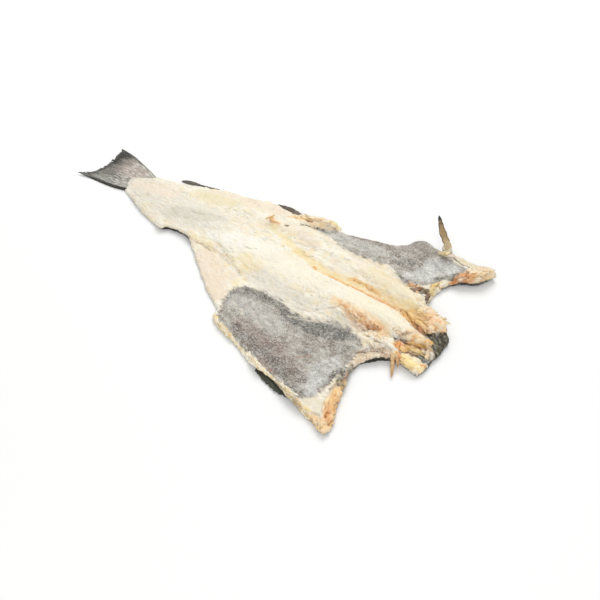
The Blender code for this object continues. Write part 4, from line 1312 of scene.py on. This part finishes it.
def blade(name, across, colours, stations):
    """A loft of flat oval sections with rays along it."""
    line = spread(np.array(stations) / MM, BLADE_ROWS)
    middle, widths, depths = line[:, :3], line[:, 3], line[:, 4]
    widths = widths * (1.0 + 0.16 * noise(middle / 0.0032, 74) + 0.10 * noise(middle / 0.0014, 75))
    along = np.gradient(middle, axis=0)
    along /= np.linalg.norm(along, axis=1)[:, None]
    side = np.array(across) - (along @ np.array(across))[:, None] * along
    side /= np.linalg.norm(side, axis=1)[:, None]
    up = np.cross(along, side)
    angle = np.linspace(0.0, math.tau, BLADE_SIDES, endpoint=False)
    over, height = np.cos(angle), np.sin(angle)
    rays = 1.0 + 0.34 * np.cos(over * math.pi * BLADE_RAYS)
    vertices = (
        middle[:, None]
        + 0.5 * widths[:, None, None] * over[None, :, None] * side[:, None]
        + 0.5 * depths[:, None, None] * (height * rays)[None, :, None] * up[:, None]
    ).reshape(-1, 3)
    share = np.repeat(np.linspace(0.0, 1.0, BLADE_ROWS), BLADE_SIDES)
    bumps = 0.00025 * fractal(vertices, 0.0030, 61, 2) * ramp(1.0, 0.8, share)
    vertices += bumps[:, None] * np.repeat(up, BLADE_SIDES, axis=0)
    vertices[:, 2] = np.maximum(vertices[:, 2], LOW.z)
    rings = np.arange(BLADE_ROWS * BLADE_SIDES).reshape(BLADE_ROWS, BLADE_SIDES)
    ahead = np.roll(rings, -1, axis=1)
    faces = np.stack([rings[:-1], ahead[:-1], ahead[1:], rings[1:]], axis=-1).reshape(-1, 4).tolist()
    faces += [rings[0, ::-1].tolist(), rings[-1].tolist()]
    root, centre, edge, tip = colours
    over = np.tile(np.abs(over), BLADE_ROWS)
    colour = mixed(np.broadcast_to(root, vertices.shape), centre, ramp(0.15, 0.45, share))
    near_edge = ramp(0.55, 0.95, over + 0.25 * noise(vertices / 0.003, 62)) * ramp(0.10, 0.35, share)
    colour = mixed(colour, edge, near_edge)
    colour = mixed(colour, tip, ramp(0.62, 0.95, share + 0.1 * noise(vertices / 0.004, 63)))
    colour = colour * (1.0 + 0.22 * fractal(vertices, 0.0022, 64, 2))[:, None]
    return piece(name, vertices, faces, colour, {"speckle": 0.25, "frost": 0.15, "gloss": 0.3})


# ---------------------------------------------------------------- torn flakes of flesh

# Clusters of flakes: how many, mean (length, width, thickness), heading and its spread in degrees and a
# path of (x, y, half width) on the flesh.
CLUSTERS = {
    "channel pit": (14, (15, 7, 5), -25, 25, [(212, 34, 4), (236, 31, 7), (262, 25, 6)]),
    "far lobe": (16, (15, 11, 5.6), 20, 60, [(250, 45, 5), (268, 37, 8), (278, 30, 6)]),
    "fringe of far lobe": (6, (9, 6, 4), 60, 40, [(258, 48, 2), (274, 41, 2)]),
    "near loin tip": (8, (11, 7, 4.4), -4, 30, [(244, -4, 5), (258, 0, 5)]),
    "foot of near loin": (34, (15, 7.5, 4.2), -20, 25, [
        (168, -14, 4), (194, -17, 7), (216, -19, 9), (234, -18, 8),
    ]),
    "ledge": (20, (18, 8.5, 5), -10, 20, [(226, -28, 8), (250, -27, 9), (262, -28, 8)]),
    "foot of ledge": (12, (10, 6.5, 5), 10, 60, [(272, -30, 6), (288, -30, 7)]),
    "notch": (30, (12, 6, 4), 50, 40, [(226, -56, 5), (236, -48, 7), (248, -41, 6), (258, -36, 4)]),
    "edge of notch": (18, (10, 4.4, 3.2), 60, 30, [
        (231, -88, 2), (230, -68, 2), (236, -52, 2), (248, -39, 2),
    ]),
    "ridge of near wing": (24, (19, 10, 5.6), -62, 14, [
        (237, -108, 2), (243, -122, 4), (252, -146, 6), (261, -166, 5),
    ]),
    "near belly edge": (90, (13, 4.8, 3.6), -20, 18, [
        (46, -116, 2), (62, -124, 2), (113, -138, 2), (154, -150, 2), (195, -158, 3), (222, -166, 3),
        (250, -173, 3),
    ]),
    "far notch": (18, (10, 7, 4.4), 60, 50, [(204, 80, 3), (220, 80, 6), (230, 75, 3)]),
    "fringe of far notch": (14, (9, 5.5, 3.6), 80, 40, [(230, 86, 2), (228, 96, 3), (230, 106, 3)]),
    "front of far wing": (12, (15, 8, 4.6), 45, 18, [(240, 118, 2), (249, 131, 4), (260, 140, 4)]),
    "tip of far wing": (9, (15, 10, 4.6), 45, 25, [(254, 146, 6), (264, 153, 5)]),
    "vent lobe": (5, (24, 7, 2.6), 8, 8, [(10, 99, 2), (36, 108, 3), (50, 110, 3)]),
    "tip of near wing": (8, (13, 8.5, 3.4), -40, 25, [(246, -168, 5), (260, -174, 3)]),
}
# Single flakes: place (x, y, z), length, width, thickness, heading and pitch in degrees, and the colour
# laid over that of the flesh beneath.
FLAKES = {
    "end of the near loin": [
        (275, 0.5, 15, 24, 12, 8.5, 10, -6, 0.5 * (PEACH + CREAM)),
        (272.5, -5.5, 11.8, 21, 9, 6.6, 12, -4, AMBER * [0.86, 0.82, 0.66]),
        (262, 1, 15, 16, 10, 6.8, -4, -2, BLUSH), (251, -4, 13.5, 17, 9, 6, -8, -2, BLUSH),
        (241, -7.5, 12, 15, 8, 5.2, -14, 0, CHALK), (256.5, -9, 10, 12, 6, 5.2, -10, 0, PLUM),
        (263.5, -8.5, 9.5, 9, 5, 4.4, 20, 0, PLUM * 0.6), (247, -11.5, 9, 11, 4.4, 4, -20, 0, UMBER),
        (266, -2, 15, 9, 6, 5, 50, 0, ROSE), (283, 4, 15, 11, 8, 6, 40, -18, AMBER),
    ],
    "tiers below the near loin": [
        (257, -22.5, 12.5, 14, 10, 7, -30, -4, ORANGE), (264.5, -21.5, 12, 13, 10, 7, 10, -2, AMBER),
        (260, -17, 12, 13, 7, 5.6, -10, 0, ROSE), (270, -16, 12, 14, 9, 7, 6, -4, AMBER * 0.75),
        (279, -14, 11, 18, 8, 6.2, 8, -8, 0.5 * (STRAW + AMBER) * 0.8),
        (273, -10.5, 10.8, 19, 9, 5.6, 12, -4, AMBER * [0.46, 0.38, 0.26]),
        (288.5, -7, 9.5, 16, 7, 5.6, -50, -6, CREAM), (291.5, -12.5, 8.8, 10, 6, 5, -70, -6, PEACH),
        (273.5, -24, 9.5, 12, 5, 4.4, 30, 0, RUST * 0.45), (281, -19.5, 8.5, 11, 5, 4, 14, 0, UMBER),
        (288, -19, 8.6, 10, 8, 5.6, 20, 0, LEAD * 0.35), (293, -17, 8, 8, 7, 5, 60, 0, LEAD * 0.5),
        (265, -31, 8.5, 22, 7, 7, -22, -4, ORANGE), (271, -33, 8, 16, 7, 7, -34, -4, PEACH),
        # Painted light: the cream, straw and orange flakes below, at 1.1 to 1.28 times their colour, are
        # brighter than the flesh for faces that turn away from the lamps.
        (276, -29, 9, 17, 10, 8, 10, -4, STRAW * 1.12), (285, -32, 8.5, 22, 13, 10, -6, -6, STRAW * 1.28),
        (288, -26, 8.5, 14, 9, 7, 20, -10, CREAM * 1.1),
        (293, -33, 6.5, 13, 11, 9, 40, -10, 0.5 * (CREAM + STRAW) * 1.22),
        (278, -36, 6, 16, 7, 6, -10, 0, STRAW), (295, -25.5, 6.8, 9, 6, 5, 60, -10, ORANGE * 1.1),
    ],
    "gold folds in the pit of the channel": [
        (234, 25.5, 10, 26, 10, 6, -24, -2, AMBER * 0.8),
        (244, 31, 10.5, 24, 12, 8, -20, -4, 0.5 * (AMBER + STRAW)),
        (254, 27, 10.5, 20, 11, 8, -34, -4, 0.5 * (AMBER + STRAW)),
        (250, 34.5, 12.5, 20, 10, 7, 10, 0, 0.4 * AMBER + 0.6 * PEACH),
        (263, 24, 11.5, 16, 11, 8, -10, -8, PEACH), (262, 16.5, 11.5, 16, 6, 5, -26, -4, RUST * 0.7),
    ],
    "lumps of the far lobe": [
        (270, 30, 15.5, 17, 14, 8, 20, 0, PEACH),
        (276.5, 31, 15, 14, 12, 8, -40, -10, 0.5 * (ROSE + PEACH)),
        (280, 33.5, 12, 14, 10, 8, 70, -20, AMBER),
        (274, 24, 14.5, 14, 11, 7, 60, -10, 0.5 * (PEACH + ROSE)),
        (280, 26.5, 13, 12, 10, 7, 10, -20, AMBER * 0.95),
        (263, 36, 15, 18, 12, 7, 0, 0, 0.5 * (CREAM + PEACH)), (269, 39, 14, 14, 10, 6, 50, 0, AMBER),
        (275, 39.5, 13, 10, 4, 4, 80, 30, IVORY),
    ],
    "dark lumps of the far notch": [
        (214, 76.5, 9.5, 16, 11, 7, 40, 0, UMBER * 1.3), (224, 75.5, 10.5, 17, 12, 8, 70, 0, OLIVE * 0.6),
        (231, 70.5, 9.5, 16, 11, 8, 90, 0, UMBER), (234.5, 64.5, 8, 14, 8, 7, 100, 0, UMBER * 0.7),
        (206, 80, 9, 12, 8, 6, 20, 0, ROSE * 0.8), (220, 72, 9.5, 10, 7, 5, 10, 0, ROSE),
        (210, 80, 8, 12, 7, 5, 60, 0, PEACH), (229, 81, 8.5, 12, 6, 5, 80, 0, STRAW),
        (228, 90, 9, 13, 6, 5, 85, 0, STRAW), (227, 98.5, 9.5, 13, 6, 5, 80, 0, 0.5 * (STRAW + AMBER)),
        (227, 70, 11, 10, 7, 5, 30, 0, CHALK),
    ],
    "knob at the root of the far pelvic fin": [
        (204, 152, 15, 14, 10, 8, 60, 20, STRAW * 0.74), (208, 156, 17, 12, 8, 7, 100, 30, CREAM * 0.76),
        (200, 157, 16.5, 10, 8, 6, 130, 40, CREAM * 0.8), (213, 152, 14, 11, 8, 6, 20, 0, BLUSH * 0.9),
        (209, 150, 17, 8, 6, 5, 80, 0, PEACH),
    ],
    "stub of the backbone and tab by the tail": [
        (-13, 60, 19, 12, 3.4, 2.6, 65, 10, AMBER), (-6, 57, 18.5, 13, 3, 2.4, -4, 0, AMBER),
        (-127, -34, 8, 10, 4, 2, -60, 10, CREAM),
    ],
}
FLAKE_RINGS = 12
FLAKE_SIDES = 16
FLAKE_GROWTH = (0.65, 1.35)
FLAKE_INSET = 0.0030
FLAKE_PITCH = 6.0
FLAKE_SINK = 0.12  # share of the thickness that its middle lies below the surface
OWN_COLOUR_SHARE, HUE_SHARE = 0.80, 0.15


def flake(index, place, length, width, depth, heading, pitch):
    """Vertices, faces and streaks of one torn, wedge-shaped flake."""
    t = np.linspace(0.0, math.pi, FLAKE_RINGS)[1:-1]
    angle = np.linspace(0.0, math.tau, FLAKE_SIDES, endpoint=False)
    t, angle = (m.ravel() for m in np.meshgrid(t, angle, indexing="ij"))
    bare = np.column_stack([np.cos(t), np.sin(t) * np.cos(angle), np.sin(t) * np.sin(angle)])
    bare = np.vstack([[1.0, 0.0, 0.0], bare, [-1.0, 0.0, 0.0]])
    shift = np.array([index * 7.3, index * 3.1, 0.0])
    swollen = 1.0 + 0.45 * noise(bare * [1.0, 1.6, 1.4] + shift, 70)
    swollen += 0.28 * noise(bare * [2.2, 3.6, 3.0] + shift, 71)
    body = bare * swollen[:, None] * [0.5 * length, 0.5 * width, 0.5 * depth]
    body[:, 1] += 0.16 * width * np.sin(3.0 * bare[:, 0] + index)
    body[:, 1:] *= (0.72 - 0.28 * bare[:, :1])
    turn, tip = math.radians(heading), math.radians(pitch)
    ahead = np.array([math.cos(turn) * math.cos(tip), math.sin(turn) * math.cos(tip), math.sin(tip)])
    left = np.array([-math.sin(turn), math.cos(turn), 0.0])
    vertices = np.array(place) + body @ np.array([ahead, left, np.cross(ahead, left)])
    vertices += 0.00030 * noise(vertices / 0.0016, 72)[:, None]
    rings = 1 + np.arange((FLAKE_RINGS - 2) * FLAKE_SIDES).reshape(-1, FLAKE_SIDES)
    ahead_rings = np.roll(rings, -1, axis=1)
    strips = np.stack([rings[:-1], rings[1:], ahead_rings[1:], ahead_rings[:-1]], axis=-1).reshape(-1, 4)
    last = len(vertices) - 1
    faces = strips.tolist()
    faces += [[0, a, b] for a, b in zip(rings[0], ahead_rings[0])]
    faces += [[last, b, a] for a, b in zip(rings[-1], ahead_rings[-1])]
    streak = fractal(body / [0.0070, 0.0016, 0.0024] + shift, 1.0, 73, 2)
    return vertices, faces, streak


def placed_flakes():
    """The single flakes, in metres."""
    for *lengths, heading, pitch, colour in itertools.chain(*FLAKES.values()):
        yield (*(np.array(lengths) / MM), heading, pitch, colour)


def scattered_flakes():
    """The flakes of the clusters, each about half sunk in the flesh."""
    rng = np.random.default_rng(11)
    outline = outline_points()
    for count, size, heading, spread_of_heading, path in CLUSTERS.values():
        line = smooth_curve(np.array(path) / MM, PATH_STEP)
        row = line[rng.integers(0, len(line), count)]
        turn, away = rng.uniform(0.0, math.tau, count), np.sqrt(rng.uniform(0.0, 1.0, count)) * row[:, 2]
        place = row[:, :2] + away[:, None] * np.column_stack([np.cos(turn), np.sin(turn)])
        kept = depth_within(place, outline) > FLAKE_INSET
        z = top(place, gap_from(place, outline))
        grown = rng.uniform(*FLAKE_GROWTH, (count, 3)) * (np.array(size) / MM)
        headings = heading + spread_of_heading * rng.uniform(-1.0, 1.0, count)
        pitches = rng.uniform(-FLAKE_PITCH, FLAKE_PITCH, count)
        for i in np.flatnonzero(kept):
            yield (*place[i], z[i] - FLAKE_SINK * grown[i, 2], *grown[i], headings[i], pitches[i], None)


def torn_flakes():
    """All the torn flakes as one mesh, in the colours of the flesh beneath."""
    rng = np.random.default_rng(12)
    hues = [CREAM, PEACH, AMBER, ROSE, STRAW, IVORY, BLUSH, CHALK]
    vertices, faces, streaks, over, shades, washes = [], [], [], [], [], []
    start = 0
    for index, (*shape, colour) in enumerate([*placed_flakes(), *scattered_flakes()]):
        more, strips, streak = flake(index, shape[:3], *shape[3:])
        vertices.append(more)
        faces += [[i + start for i in face] for face in strips]
        streaks.append(streak)
        over.append(np.full(more.shape, np.nan if colour is None else colour))
        shades.append(np.full(more.shape, rng.uniform(-1.0, 1.0)) * [0.04, 0.08, 0.14])
        washes.append(np.full(more.shape, hues[rng.integers(0, len(hues))]))
        start += len(more)
    columns = (vertices, streaks, over, shades, washes)
    vertices, streak, over, shade, wash = (np.concatenate(column) for column in columns)
    vertices[:, 0] = np.minimum(vertices[:, 0], HIGH.x)
    vertices[:, 2] = np.maximum(vertices[:, 2], LOW.z)
    none = np.zeros(len(vertices))
    # The flesh's colours, with its painted shade in the crevices and painted highlight on the tops.
    tints = body_colours(vertices, none + 2.0, {"membrane": none, "torn": none + 0.7, "skin": none})
    washed = (1.0 - HUE_SHARE) * tints + HUE_SHARE * wash
    owned = (1.0 - OWN_COLOUR_SHARE) * tints + OWN_COLOUR_SHARE * over
    tints = np.where(np.isnan(over), washed, owned) * (1.0 + shade)
    tints = mixed(tints, tints * [0.88, 0.74, 0.54], 0.6 * ramp(0.15, 0.7, streak))
    tints = mixed(tints, tints * [1.12, 1.15, 1.20], 0.8 * ramp(0.05, 0.6, -streak))
    return piece("torn_flakes", vertices, faces, tints, {"frost": 0.2, "gloss": 0.5})


# ---------------------------------------------------------------- floor, light and camera

CAMERA_AT = (0.808, -0.872, 1.026)
CAMERA_LOOKS_AT = (0.107, -0.024, 0.0)
CAMERA_HALF_ANGLE = math.radians(14.0)
SENSOR = 36.0
FLOOR_COLOUR = (0.812, 0.814, 0.810, 1.0)
FLOOR_HALF_SIZE = 4.0
FLOOR_GAP = 0.0002
SKY_COLOUR = (1.0, 1.0, 0.99, 1.0)
SKY_STRENGTH = 0.58
# Each light: its place, what it points at, its diameter and its power in watts.
LIGHTS = {
    "key": ((-0.8, 1.8, 2.0), (0.05, 0.0, 0.0), 1.8, 52.0),
    "fill": ((1.4, -1.9, 2.0), (0.0, 0.0, 0.0), 2.4, 43.0),
}


def looking(obj, at, target):
    """Puts the object at a place and turns its -Z axis to the target."""
    direction = np.array(target) - np.array(at)
    obj.location = at
    obj.rotation_euler = Vector(direction).to_track_quat("-Z", "Y").to_euler()


def camera():
    data = bpy.data.cameras.new("camera")
    data.sensor_width = SENSOR
    data.lens = 0.5 * SENSOR / math.tan(CAMERA_HALF_ANGLE)
    made = bpy.data.objects.new("camera", data)
    looking(made, CAMERA_AT, CAMERA_LOOKS_AT)
    bpy.context.scene.collection.objects.link(made)
    bpy.context.scene.camera = made


def area_light(name, at, target, size, power):
    data = bpy.data.lights.new(name, "AREA")
    data.shape = "DISK"
    data.size = size
    data.energy = power
    made = bpy.data.objects.new(name, data)
    looking(made, at, target)
    bpy.context.scene.collection.objects.link(made)


def floor():
    """A plain pale floor just under the fish."""
    mesh = bpy.data.meshes.new("floor")
    r = FLOOR_HALF_SIZE
    mesh.from_pydata([(-r, -r, 0), (r, -r, 0), (r, r, 0), (-r, r, 0)], [], [(0, 1, 2, 3)])
    made = bpy.data.objects.new("floor", mesh)
    made.location.z = LOW.z - FLOOR_GAP
    white = bpy.data.materials.new("white_floor")
    white.use_nodes = True
    shader = white.node_tree.nodes["Principled BSDF"]
    shader.inputs["Base Color"].default_value = FLOOR_COLOUR
    shader.inputs["Roughness"].default_value = 0.9
    shader.inputs["Specular IOR Level"].default_value = 0.1
    mesh.materials.append(white)
    bpy.context.scene.collection.objects.link(made)
    made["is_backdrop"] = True


def studio():
    """A pale sky, a soft key light from behind, a large fill light from the front, floor and camera."""
    world = bpy.data.worlds.new("studio")
    world.use_nodes = True
    background = world.node_tree.nodes["Background"]
    background.inputs["Color"].default_value = SKY_COLOUR
    background.inputs["Strength"].default_value = SKY_STRENGTH
    bpy.context.scene.world = world
    bpy.context.scene.view_settings.view_transform = "Standard"
    for light_name, light in LIGHTS.items():
        area_light(light_name, *light)
    floor()
    camera()


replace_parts(body(), "salted_cod")
tail_fin()
for blade_name, blade_shape in BLADES.items():
    blade(blade_name, *blade_shape)
torn_flakes()
studio()

[[list(corner) for corner in box] for box in (CAD_BOX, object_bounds())]
